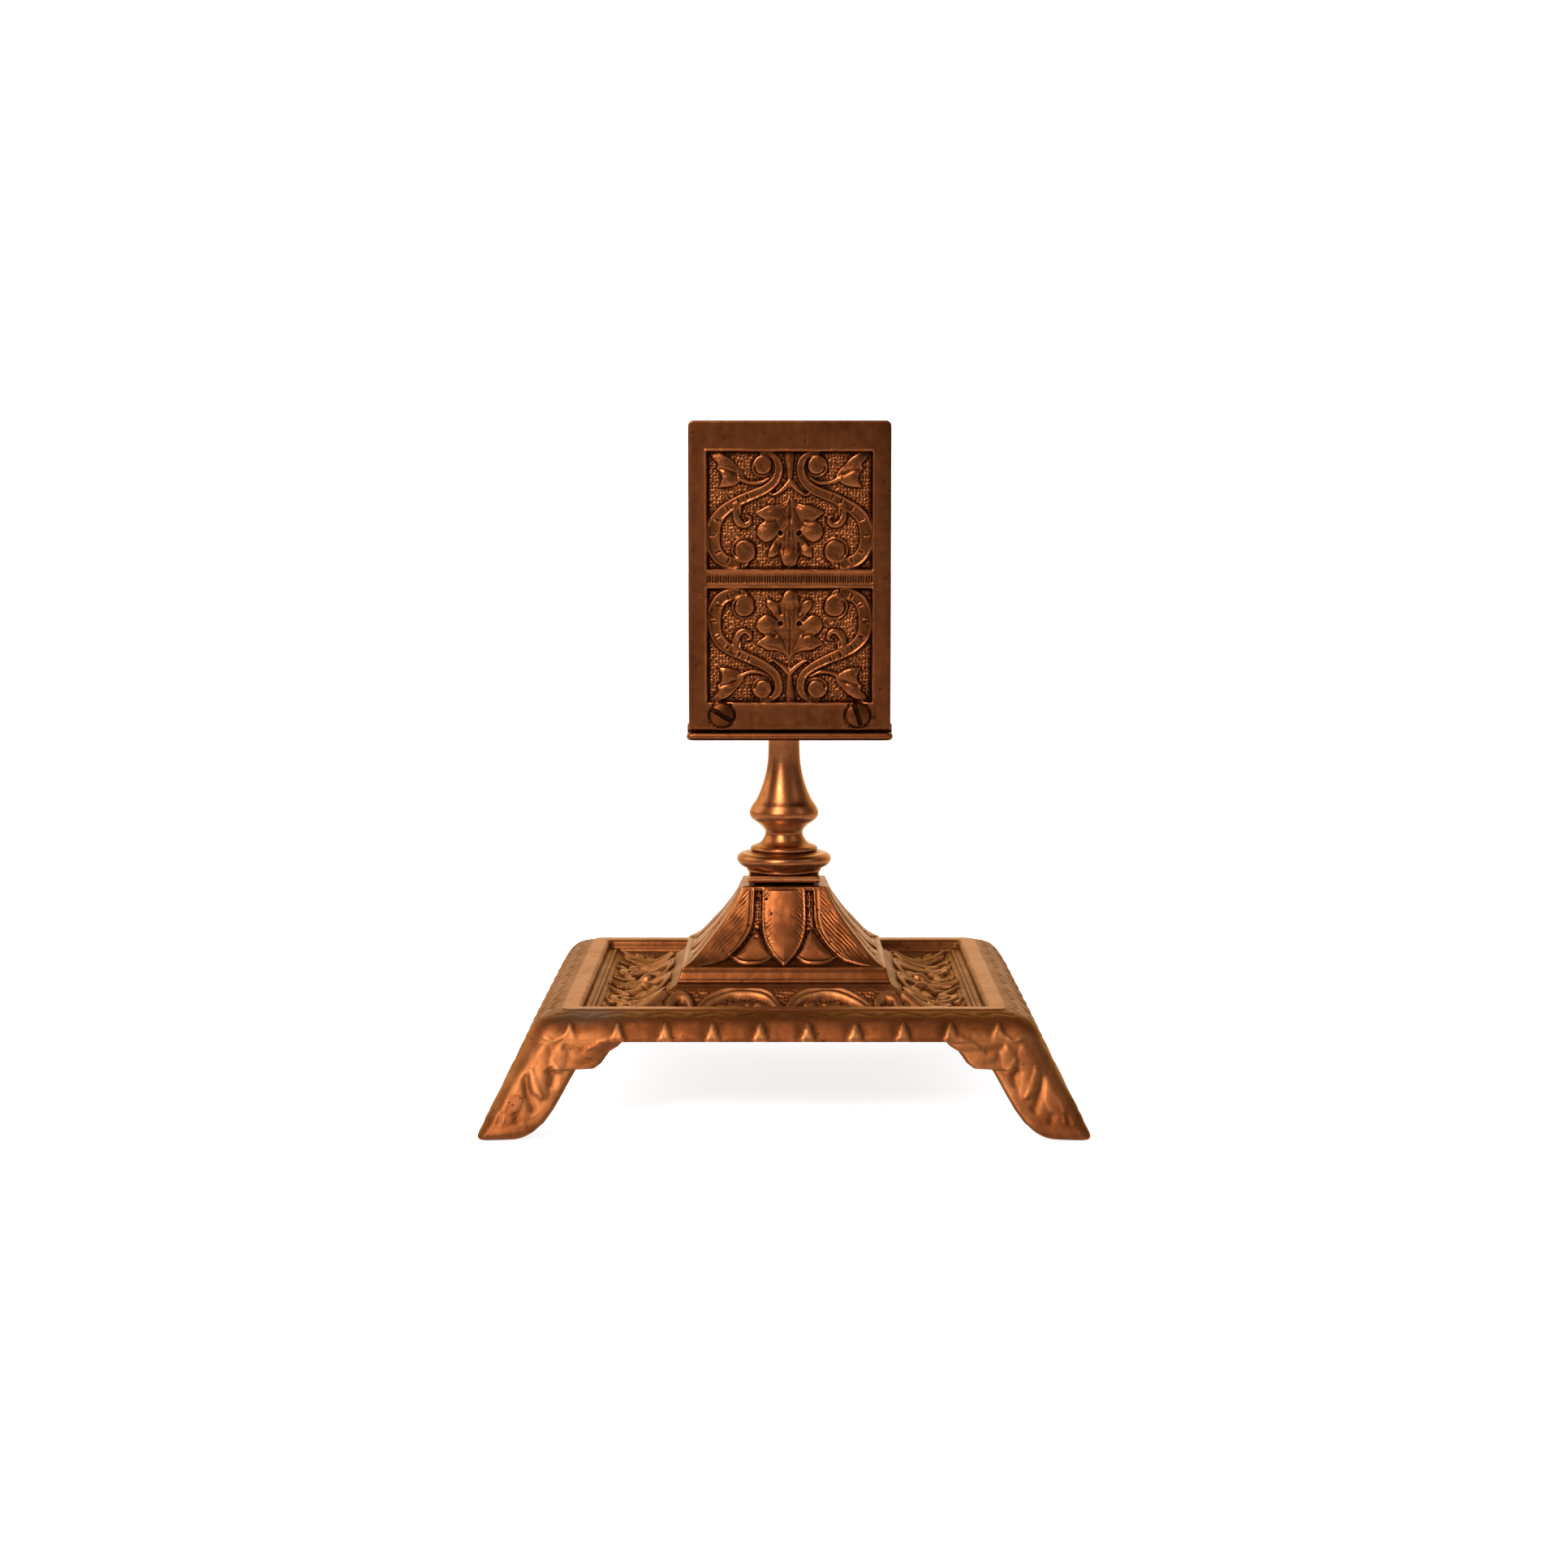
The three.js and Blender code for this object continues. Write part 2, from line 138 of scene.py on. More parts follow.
class Relief:
    """Heights over a flat pattern, built up stroke by stroke."""

    def __init__(self, x, y):
        self.x, self.y = x, y
        self.h = np.zeros(x.shape)
        self.cover = np.zeros(x.shape)

    def near(self, line, reach):
        lo, hi = line.min(0) - reach, line.max(0) + reach
        return (self.x > lo[0]) & (self.x < hi[0]) & (self.y > lo[1]) & (self.y < hi[1])

    def measure(self, line, mask):
        """Distance to a line, and the share of the way along it."""
        px, py = self.x[mask], self.y[mask]
        best, share = np.full(px.shape, 1e9), np.zeros(px.shape)
        step = np.hypot(*np.diff(line, axis=0).T)
        ends = np.concatenate([[0], np.cumsum(step)]) / max(step.sum(), 1e-9)
        for k, (a, b) in enumerate(pairs(line)):
            d = b - a
            t = unit(((px - a[0]) * d[0] + (py - a[1]) * d[1]) / max(d @ d, 1e-12))
            ex, ey = px - a[0] - t * d[0], py - a[1] - t * d[1]
            dist = ex * ex + ey * ey
            closer = dist < best
            best[closer] = dist[closer]
            share[closer] = (ends[k] + t * (ends[k + 1] - ends[k]))[closer]
        return np.sqrt(best), share

    def stroke(self, points, widths, rise, vein=0.0, flat=0.5, edge=None):
        """A band along a curve: round in section, or flat with rounded edges. A negative rise cuts in."""
        line = spline(points)
        widths = np.atleast_1d(np.array(widths, float))
        mask = self.near(line, widths.max() + 0.1)
        if not mask.any():
            return
        d, t = self.measure(line, mask)
        w = np.maximum(np.interp(t, np.linspace(0, 1, len(widths)), widths), 1e-3)
        q = unit(1 - (d / w) ** 2)
        section = dome((w - d) / edge) if edge else q**flat
        rises = np.atleast_1d(np.array(rise, float))
        h = np.interp(t, np.linspace(0, 1, len(rises)), rises) * section
        if vein:
            h = h - vein * ridge(d, VEIN_WIDTH)
        old = self.h[mask]
        self.h[mask] = np.where(q > 0, np.maximum(old, h) if rises.max() > 0 else old + h, old)
        self.cover[mask] = np.maximum(self.cover[mask], smooth(q, 0, 0.35))

    def shape(self, corners, rise, edge, steps=5):
        """A raised form inside a closed outline, rounded over near its edge."""
        line = spline(list(corners) + [corners[0]], steps)
        mask = self.near(line, 0.1)
        if not mask.any():
            return
        px, py = self.x[mask], self.y[mask]
        inside = np.zeros(px.shape, bool)
        for (ax, ay), (bx, by) in pairs(line):
            if ay != by:
                inside ^= ((ay > py) != (by > py)) & (px < (bx - ax) * (py - ay) / (by - ay) + ax)
        d, _ = self.measure(line, mask)
        q = np.where(inside, unit(d / edge), 0)
        h = rise * dome(q)
        old = self.h[mask]
        self.h[mask] = np.where(inside, np.maximum(old, h), old)
        self.cover[mask] = np.maximum(self.cover[mask], smooth(q, 0, 0.3))

    def groove(self, points, width, depth):
        """A line cut along a curve, fading at both ends. A negative depth raises it."""
        line = spline(points)
        mask = self.near(line, 3 * width)
        d, t = self.measure(line, mask)
        self.h[mask] -= depth * ridge(d, width) * smooth(t, -0.01, 0.12) * smooth(-t, -1.01, -0.88)

    def disc(self, centre, radius, rise, edge):
        d = np.hypot(self.x - centre[0], self.y - centre[1])
        q = unit((radius - d) / edge)
        self.h = np.where(q > 0, np.maximum(self.h, rise * dome(q)), self.h)
        self.cover = np.maximum(self.cover, smooth(q, 0, 0.35))

    def boss(self, centre, radius, rise):
        """A low swelling that runs out softly, added only where there is ornament already."""
        q = unit(1 - ((self.x - centre[0]) ** 2 + (self.y - centre[1]) ** 2) / radius**2)
        self.h = self.h + rise * q**1.2 * smooth(self.cover, 0.6, 1.0)

    def pit(self, centre, radius, depth):
        self.h = pitted(self.h, self.x, self.y, [(*centre, radius)], depth, 0.5)


def blurred(h, rounds, wrap):
    """Box blur over the grid, rows and columns, several times."""
    for _ in range(rounds):
        for axis in (0, 1):
            if axis == 1 and wrap:
                h = (np.roll(h, 1, 1) + h + np.roll(h, -1, 1)) / 3
            else:
                p = np.concatenate([h.take([0], axis), h, h.take([-1], axis)], axis)
                n = h.shape[axis]
                h = (
                    p.take(range(0, n), axis) + p.take(range(1, n + 1), axis) + p.take(range(2, n + 2), axis)
                ) / 3
    return h


def wear_and_shade(h, gain, wrap=False):
    """1 on crests and edges, 0 down in the recesses: rubbed metal and tarnish, and with them painted
    highlight on the crests and painted shade in the recesses.
    """
    fine = h - blurred(h, 5, wrap)
    broad = h - blurred(h, 30, wrap)
    return unit(0.5 + gain * fine + 0.5 * gain * broad)


# ------------------------------------------------------------------ meshes
def piece(name, points, faces, nodes, material, attributes, flat=0):
    """A mesh object from millimetre points, on the root body in place of the parts it hides. flat counts the
    flat faces at its end.
    """
    mesh = bpy.data.meshes.new(name)
    mesh.from_pydata((np.asarray(points) * MM).tolist(), [], faces)
    mesh.update()
    mesh.polygons.foreach_set("use_smooth", [i < len(faces) - flat for i in range(len(faces))])
    for key, values in attributes.items():
        layer = mesh.attributes.new(key, "FLOAT", "POINT")
        layer.data.foreach_set("value", np.asarray(values, np.float32).ravel())
    mesh.materials.append(material)
    obj = bpy.data.objects.new(name, mesh)
    bpy.context.scene.collection.objects.link(obj)
    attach(obj, "root")
    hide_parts(*nodes)


def grid_faces(rows, cols, wrap=False, start=0):
    """Quads over rows of points. wrap closes each row on itself."""
    out = []
    last = cols if wrap else cols - 1
    for i in range(rows - 1):
        a, b = start + i * cols, start + (i + 1) * cols
        for j in range(last):
            k = (j + 1) % cols
            out.append((a + j, a + k, b + k, b + j))
    return out


def tube_faces(rows, cols):
    """Faces of a tube of closed rings, filled at both ends."""
    ends = [tuple(range(cols))[::-1], tuple((rows - 1) * cols + j for j in range(cols))]
    return grid_faces(rows, cols, wrap=True) + ends


def shifted(faces, start):
    return [tuple(i + start for i in face) for face in faces]


def revolve(profile, sides, gain):
    """A closed turned body from (radius, z) points, bottom first, that start and end on the axis."""
    p = np.array(profile, float)
    r, z = p[1:-1, 0], p[1:-1, 1]
    a = np.linspace(0, 2 * math.pi, sides, endpoint=False)
    x, y = r[:, None] * np.cos(a), r[:, None] * np.sin(a)
    points = np.stack([x, y, np.broadcast_to(z[:, None], x.shape)], -1).reshape(-1, 3)
    n = len(r)
    faces = tube_faces(n, sides)
    local = np.array([r[max(0, i - 6) : i + 7].mean() for i in range(n)])
    rise = np.hypot(np.gradient(r), np.gradient(z))
    painted_underside_light = 0.8 * smooth(np.gradient(r) / rise, 0.15, 0.75)  # undersides, given a painted light standing in for light from below
    worn_and_shaded = np.clip(0.5 + gain * 0.35 * (r - local), 0.3, 1)
    return points, faces, np.repeat(worn_and_shaded, sides), np.repeat(painted_underside_light, sides)


def fillet(points, radius, steps):
    """Rounds each corner of an open outline a little, so that edges catch the light."""
    p = [np.array(q, float) for q in points]
    out = [p[0]]
    for a, b, c in zip(p[:-2], p[1:-1], p[2:]):
        la, lc = np.linalg.norm(a - b), np.linalg.norm(c - b)
        r = min(radius, 0.45 * la, 0.45 * lc)
        s, e = b + (a - b) / max(la, 1e-9) * r, b + (c - b) / max(lc, 1e-9) * r
        for t in np.linspace(0, 1, steps):
            out.append((1 - t) ** 2 * s + 2 * t * (1 - t) * b + t * t * e)
    out.append(p[-1])
    return np.array(out)


def square_ring(half_x, half_y, radius, along, corner):
    """A rounded rectangle, counter-clockwise from the front: points, normals, places along the side."""
    pts, nrm, place = [], [], []
    turn = np.linspace(-math.pi / 4, math.pi / 4, corner + 2)[1:-1]
    for k in range(4):
        c, s = math.cos(k * math.pi / 2), math.sin(k * math.pi / 2)
        hx, hy = (half_x, half_y) if k % 2 == 0 else (half_y, half_x)
        a = along * (hx - radius)
        side = np.stack([a, np.full_like(a, -hy)], 1)
        n = np.tile([0.0, -1.0], (len(a), 1))
        angle = turn + math.pi / 4
        arc = np.stack([hx - radius + radius * np.sin(angle), -hy + radius - radius * np.cos(angle)], 1)
        arc_n = np.stack([np.sin(angle), -np.cos(angle)], 1)
        half_arc = radius * np.where(angle < math.pi / 4, angle, math.pi / 2 - angle)
        place_arc = np.where(angle < math.pi / 4, hx - radius + half_arc, -(hy - radius + half_arc))
        turned = np.array([[c, s], [-s, c]])
        pts.append(np.vstack([side, arc]) @ turned)
        nrm.append(np.vstack([n, arc_n]) @ turned)
        place.append(np.concatenate([a, place_arc]))
    return np.vstack(pts), np.vstack(nrm), np.concatenate(place)


def level_ring(half_x, half_y, radius, z, along, corner):
    p, _, _ = square_ring(half_x, half_y, radius, along, corner)
    return np.column_stack([p, np.full(len(p), z)])


def section_rings(line, radii, along, corner):
    """Direction of a section line (half width, z), its rings, and each point's place, half width and z."""
    run = np.gradient(line, axis=0)
    run /= np.linalg.norm(run, axis=1)[:, None]
    rings = [square_ring(h, h, r, along, corner) for (h, _), r in zip(line, radii)]
    a = np.array([place for _, _, place in rings])
    return run, rings, a, np.broadcast_to(line[:, :1], a.shape), np.broadcast_to(line[:, 1:], a.shape)


def raised(rings, line, relief, out, up):
    """Points of the rings, moved by the relief: out along their normals, and up."""
    points = np.empty(relief.shape + (3,))
    for i, (p, n, _) in enumerate(rings):
        points[i, :, :2] = p + n * (relief[i] * out[i])[:, None]
        points[i, :, 2] = line[i][1] + relief[i] * up[i]
    return points


def squared(levels, count, corner, gain=1.6):
    """A closed body from rounded rectangles (half x, half y, corner radius, z), bottom first."""
    along = np.linspace(-1, 1, count)
    rings = [level_ring(*level, along, corner) for level in levels]
    n, cols = len(rings), len(rings[0])
    faces = tube_faces(n, cols)
    half = np.array([level[0] for level in levels])
    local = np.array([half[max(0, i - 3) : i + 4].mean() for i in range(n)])
    worn_and_shaded = unit(0.5 + gain * 0.4 * (half - local))
    return np.vstack(rings), faces, np.repeat(worn_and_shaded, cols)


# ------------------------------------------------------------------ materials
class Nodes:
    """Adds nodes to a tree. An input is either a value or the output of another node."""

    def __init__(self, tree):
        self.tree = tree

    def feed(self, node, inputs):
        for key, value in inputs.items():
            if isinstance(value, bpy.types.NodeSocket):
                self.tree.links.new(value, node.inputs[key])
            else:
                node.inputs[key].default_value = value

    def add(self, kind, inputs=None, **settings):
        node = self.tree.nodes.new("ShaderNode" + kind)
        for key, value in settings.items():
            setattr(node, key, value)
        self.feed(node, inputs or {})
        return node

    def calc(self, kind, a, b, clamp=False):
        return self.add("Math", {0: a, 1: b}, operation=kind, use_clamp=clamp).outputs[0]

    def vary(self, value, noise, amount, clamp=False):
        """The value, moved up and down by a noise that runs from 0 to 1."""
        return self.calc(
            "ADD", value, self.calc("MULTIPLY", self.calc("SUBTRACT", noise, 0.5), amount), clamp,
        )

    def between(self, value, lo, hi, out_lo=0.0, out_hi=1.0, how="LINEAR"):
        inputs = {"From Min": lo, "From Max": hi, "To Min": out_lo, "To Max": out_hi, "Value": value}
        return self.add("MapRange", inputs, interpolation_type=how).outputs["Result"]


def new_material(name):
    m = bpy.data.materials.new(name)
    m.use_nodes = True
    return m, Nodes(m.node_tree), m.node_tree.nodes["Principled BSDF"]


def brass(name, deep, mid, bright, rough, grain=0.5, streaks=False, stain_and_sheen=None):
    """Aged brass, dark in the recesses and light on crests and edges, as a per-point attribute says:
    tarnish and rubbed metal, with painted shade in the recesses and painted highlight on the crests.

    rough is for rubbed and for tarnished metal. A second attribute mixes in a second colour, in patches:
    a real stain on the base, and painted light on the undersides of the turned parts.
    """
    m, nodes, shader = new_material(name)
    calc = nodes.calc
    coords = nodes.add("TexCoord").outputs["Object"]

    def clouds(scale, detail=4.0, roughness=0.6, stretch=(1, 1, 1)):
        place = nodes.add("Mapping", {"Scale": stretch, "Vector": coords}).outputs["Vector"]
        inputs = {"Scale": scale, "Detail": detail, "Roughness": roughness, "Vector": place}
        return nodes.add("TexNoise", inputs).outputs["Fac"]

    slow, fast, fine = clouds(55), clouds(420, 3), clouds(2600, 2)
    rubbed = clouds(1.0, 3, 0.6, (420, 420, 26))
    level = nodes.vary(nodes.add("Attribute", attribute_name="wear_and_shade").outputs["Fac"], slow, 0.5)
    level = nodes.vary(nodes.vary(level, fast, 0.35), rubbed, 0.4, True)
    specks = nodes.between(clouds(900, 2), 0.66, 0.74)
    level = calc("SUBTRACT", level, calc("MULTIPLY", specks, 0.4), True)
    ramp = nodes.add("ValToRGB", {"Fac": level})
    stops = ramp.color_ramp.elements
    stops[0].position, stops[0].color = 0.02, (*deep, 1)
    stops[1].position, stops[1].color = 0.4, (*mid, 1)
    stops.new(0.95).color = (*bright, 1)
    colour = ramp.outputs["Color"]
    if stain_and_sheen:
        amount = nodes.add("Attribute", attribute_name="stain_and_sheen").outputs["Fac"]
        share = calc("MULTIPLY", nodes.vary(amount, clouds(300, 5), 1.6), amount, True)
        colour = nodes.add(
            "Mix", {"Factor": share, "A": colour, "B": (*stain_and_sheen, 1)}, data_type="RGBA",
        ).outputs["Result"]
    gloss = calc("ADD", calc("MULTIPLY", level, 0.6), calc("MULTIPLY", slow, 0.4))
    surface = calc("ADD", calc("MULTIPLY", fast, 0.8), calc("MULTIPLY", fine, 0.5))
    if streaks:  # the turning lines run round the axis, so they vary with height only
        surface = calc("ADD", surface, calc("MULTIPLY", clouds(1.0, 3, 0.7, (20, 20, 5200)), 0.9))
    bump = nodes.add("Bump", {"Strength": grain, "Distance": 0.00006, "Height": surface}).outputs["Normal"]
    roughness = nodes.between(gloss, 0.25, 0.8, rough[1], rough[0])
    nodes.feed(shader, {
        "Metallic": 1.0, "Specular Tint": (1.0, 0.72, 0.5, 1), "Base Color": colour, "Roughness": roughness,
        "Normal": bump,
    })
    return m


plate_cast = brass(
    "plate_brass", (0.009, 0.0026, 0.0009), (0.05, 0.0137, 0.004), (0.15, 0.046, 0.015), (0.28, 0.4),
)
cast = brass("cast_brass", (0.014, 0.004, 0.0013), (0.084, 0.0228, 0.0065), (0.19, 0.06, 0.02), (0.32, 0.44))
base_cast = brass(
    "base_brass", (0.035, 0.01, 0.003), (0.098, 0.0275, 0.0082), (0.21, 0.078, 0.027), (0.42, 0.56),
    stain_and_sheen=(0.085, 0.058, 0.043)
)
# the last colour of turned_brass is painted light, mixed onto the undersides of the turned parts
turned = brass(
    "turned_brass", (0.09, 0.026, 0.0075), (0.155, 0.047, 0.0155), (0.31, 0.112, 0.042), (0.24, 0.38), 0.4,
    True, (0.7, 0.5, 0.32)
)
plain = brass(
    "plain_brass", (0.03, 0.008, 0.0022), (0.062, 0.0165, 0.0047), (0.15, 0.044, 0.014), (0.3, 0.42),
)
under = brass("cast_skin", (0.03, 0.01, 0.004), (0.09, 0.032, 0.012), (0.17, 0.066, 0.027), (0.45, 0.65), 0.9)
steel = brass("dark_steel", (0.02, 0.017, 0.014), (0.08, 0.07, 0.06), (0.2, 0.18, 0.16), (0.4, 0.62), 0.8)


# ------------------------------------------------------------------ case plates
plate_lo, plate_hi = span("front_plate")
PLATE_HALF = (plate_hi[0] - plate_lo[0]) / 2
PLATE_BOTTOM, PLATE_TOP = plate_lo[2], plate_hi[2]
PLATE_THICK = plate_hi[1] - plate_lo[1]
PANEL_HALF, PANEL_BOTTOM, PANEL_TOP = 15.9, 75.6, 123.7
BAR_Z, BAR_HALF = 99.4, 1.8
POCKET = 1.25  # depth of the sunk panels
PATTERN_HIGH, UPPER_HIGH = 22.0, 22.5  # the pattern, and the upper panel over which it is stretched
CASE_X = (plate_lo[0] + plate_hi[0]) / 2  # the case stands off the middle of the base


def spiral(centre, start, turns, outer, inner):
    """Points of a volute's groove, winding in from its start angle in degrees."""
    share = np.linspace(0, 1, 9)
    angle = np.radians(start) + 2 * math.pi * turns * share
    radius = outer + (inner - outer) * share
    return [(centre[0] + r * math.cos(t), centre[1] + r * math.sin(t)) for r, t in zip(radius, angle)]


def plate_pattern(x, v):
    """Relief of one sunk panel. x is the distance from the middle, v the distance from the bar."""
    r = Relief(x, v)
    # scroll: a volute by the bar, round the side of the panel, into a volute beside the stem
    scroll = [
        (8.9, 1.3), (10.9, 1.2), (13.0, 1.9), (14.3, 3.7), (14.55, 6.6), (14.0, 9.4), (12.2, 11.4),
        (9.6, 12.8),
        (7.0, 13.9), (4.6, 15.0), (2.7, 16.6), (2.05, 18.6), (2.4, 20.3), (3.6, 21.2), (5.4, 21.4),
    ]
    widths = [1.1, 1.25, 1.4, 1.4, 1.35, 1.35, 1.25, 1.15, 1.1, 1.05, 0.95, 0.9, 0.85, 0.75, 0.5]
    r.stroke(scroll, widths, 0.98, edge=0.4)
    r.stroke(scroll, [w * 0.68 for w in widths], -0.18, edge=0.3)
    upper, lower = (8.9, 3.5), (5.2, 19.3)
    r.disc(upper, 2.62, 1.02, 0.7)
    r.disc(lower, 2.2, 1.02, 0.6)
    r.groove(spiral(upper, 215, -0.75, 2.5, 1.75), 0.2, 0.5)
    r.groove([(11.3, 4.6), (11.6, 3.2), (10.6, 1.9)], 0.2, 0.4)
    r.groove(spiral(lower, 120, 0.72, 2.15, 1.45), 0.2, 0.46)
    # middle leaf: one outline, rounded over, with its lobes swelling out of it
    half = [
        (0.0, 0.1), (1.2, 0.6), (1.75, 1.9), (2.2, 2.7), (3.2, 2.1), (4.4, 2.0), (4.6, 3.0), (4.1, 4.2),
        (3.6, 5.0),
        (4.8, 4.9), (6.1, 5.7), (6.7, 7.1), (6.1, 8.4), (5.1, 9.2), (5.9, 9.8), (6.9, 10.8), (5.6, 11.4),
        (4.2, 12.1), (2.4, 12.3), (1.0, 12.8), (0.3, 13.8), (0.0, 14.8),
    ]
    r.shape([(-px, pv) for px, pv in half[1:-1]][::-1] + half, 0.62, 0.45, 4)
    for centre, radius, rise in (
        ((0.0, 2.0), 2.2, 0.34), ((3.4, 3.3), 1.7, 0.28), ((4.5, 6.9), 2.6, 0.46), ((3.9, 10.7), 3.0, 0.34),
        ((0.0, 6.6), 3.2, 0.22),
    ):
        r.boss(centre, radius, rise)
    for vein, width, depth in (
        ([(4.3, 4.5), (3.3, 5.4), (2.2, 6.5)], 0.32, 0.34),
        ([(5.3, 9.2), (4.0, 8.9), (2.4, 9.2)], 0.34, 0.2),
        ([(2.2, 2.7), (2.0, 3.8), (1.7, 5.2)], 0.26, 0.2),
        ([(0, 5.2), (0, 9.0), (0, 14.4)], 0.16, 0.16),
        ([(0.5, 12.0), (1.6, 9.6), (3.2, 7.8)], 0.14, 0.1),
        ([(0.6, 12.4), (2.4, 11.4), (4.8, 10.8)], 0.14, 0.1),
        ([(0.3, 8.4), (0.9, 5.6), (1.0, 2.4)], 0.14, 0.08),
    ):
        r.groove(vein, width, depth)
    # small hook that branches off the scroll
    hook = [(10.2, 11.8), (10.3, 10.0), (9.8, 8.8), (8.7, 8.25), (7.7, 8.8), (7.6, 9.7), (8.3, 10.0)]
    r.stroke(hook, [1.2, 1.05, 0.95, 0.85, 0.75, 0.6, 0.4], 0.92, edge=0.6)
    r.groove([(9.9, 11.4), (9.6, 9.9), (8.7, 9.3)], 0.16, 0.3)
    # corner leaf on its stem
    r.stroke([(3.9, 17.0), (5.6, 16.2), (7.6, 16.2), (9.6, 17.0)], [0.25, 0.55, 0.55, 0.7], 0.8)
    r.shape(
        [
            (8.4, 17.0), (10.0, 15.8), (11.8, 15.2), (13.9, 15.2), (13.3, 16.8), (13.6, 18.1), (14.3, 18.9),
            (14.0, 19.7),
            (15.1, 20.8), (15.9, 22.3), (13.6, 22.0), (11.6, 21.0), (10.2, 19.6), (9.0, 18.3),
        ],
        0.62, 0.45, 4,
    )
    r.boss((11.9, 16.9), 2.5, 0.4)
    r.boss((12.6, 20.2), 2.6, 0.36)
    r.groove([(13.7, 18.8), (11.8, 18.4), (9.8, 17.7)], 0.28, 0.22)
    # stem wedge between the scrolls, and the collar leaf over it
    r.stroke([(0, 15.4), (0, 18.5), (0, 22.4)], [0.35, 0.75, 1.05, 1.3], 0.74)
    r.stroke([(0.1, 16.3), (1.5, 14.9), (3.1, 13.9), (3.9, 14.2)], [0.75, 0.65, 0.5, 0.2], 0.88)
    # chisel ticks across the scroll
    for (cx, cy), (ux, uy) in (
        ((9.4, 0.7), (0.1, -1)), ((11.9, 1.6), (0.35, -0.95)), ((13.7, 3.3), (0.9, -0.5)),
        ((14.7, 6.4), (1, 0.05)),
        ((13.9, 9.3), (0.85, 0.45)), ((12.1, 11.4), (0.5, 0.85)), ((9.9, 12.8), (0.35, 0.95)),
        ((8.1, 13.6), (0.3, 0.95)),
    ):
        tick = [(cx + k * ux, cy + k * uy) for k in (-0.55, 0, 0.55)]
        r.groove(tick, 0.15, 0.28)
        r.groove([(px + 0.26 * uy, pv - 0.26 * ux) for px, pv in tick], 0.14, -0.2)
    r.pit((1.85, 6.8), 0.55, 0.9)
    return r


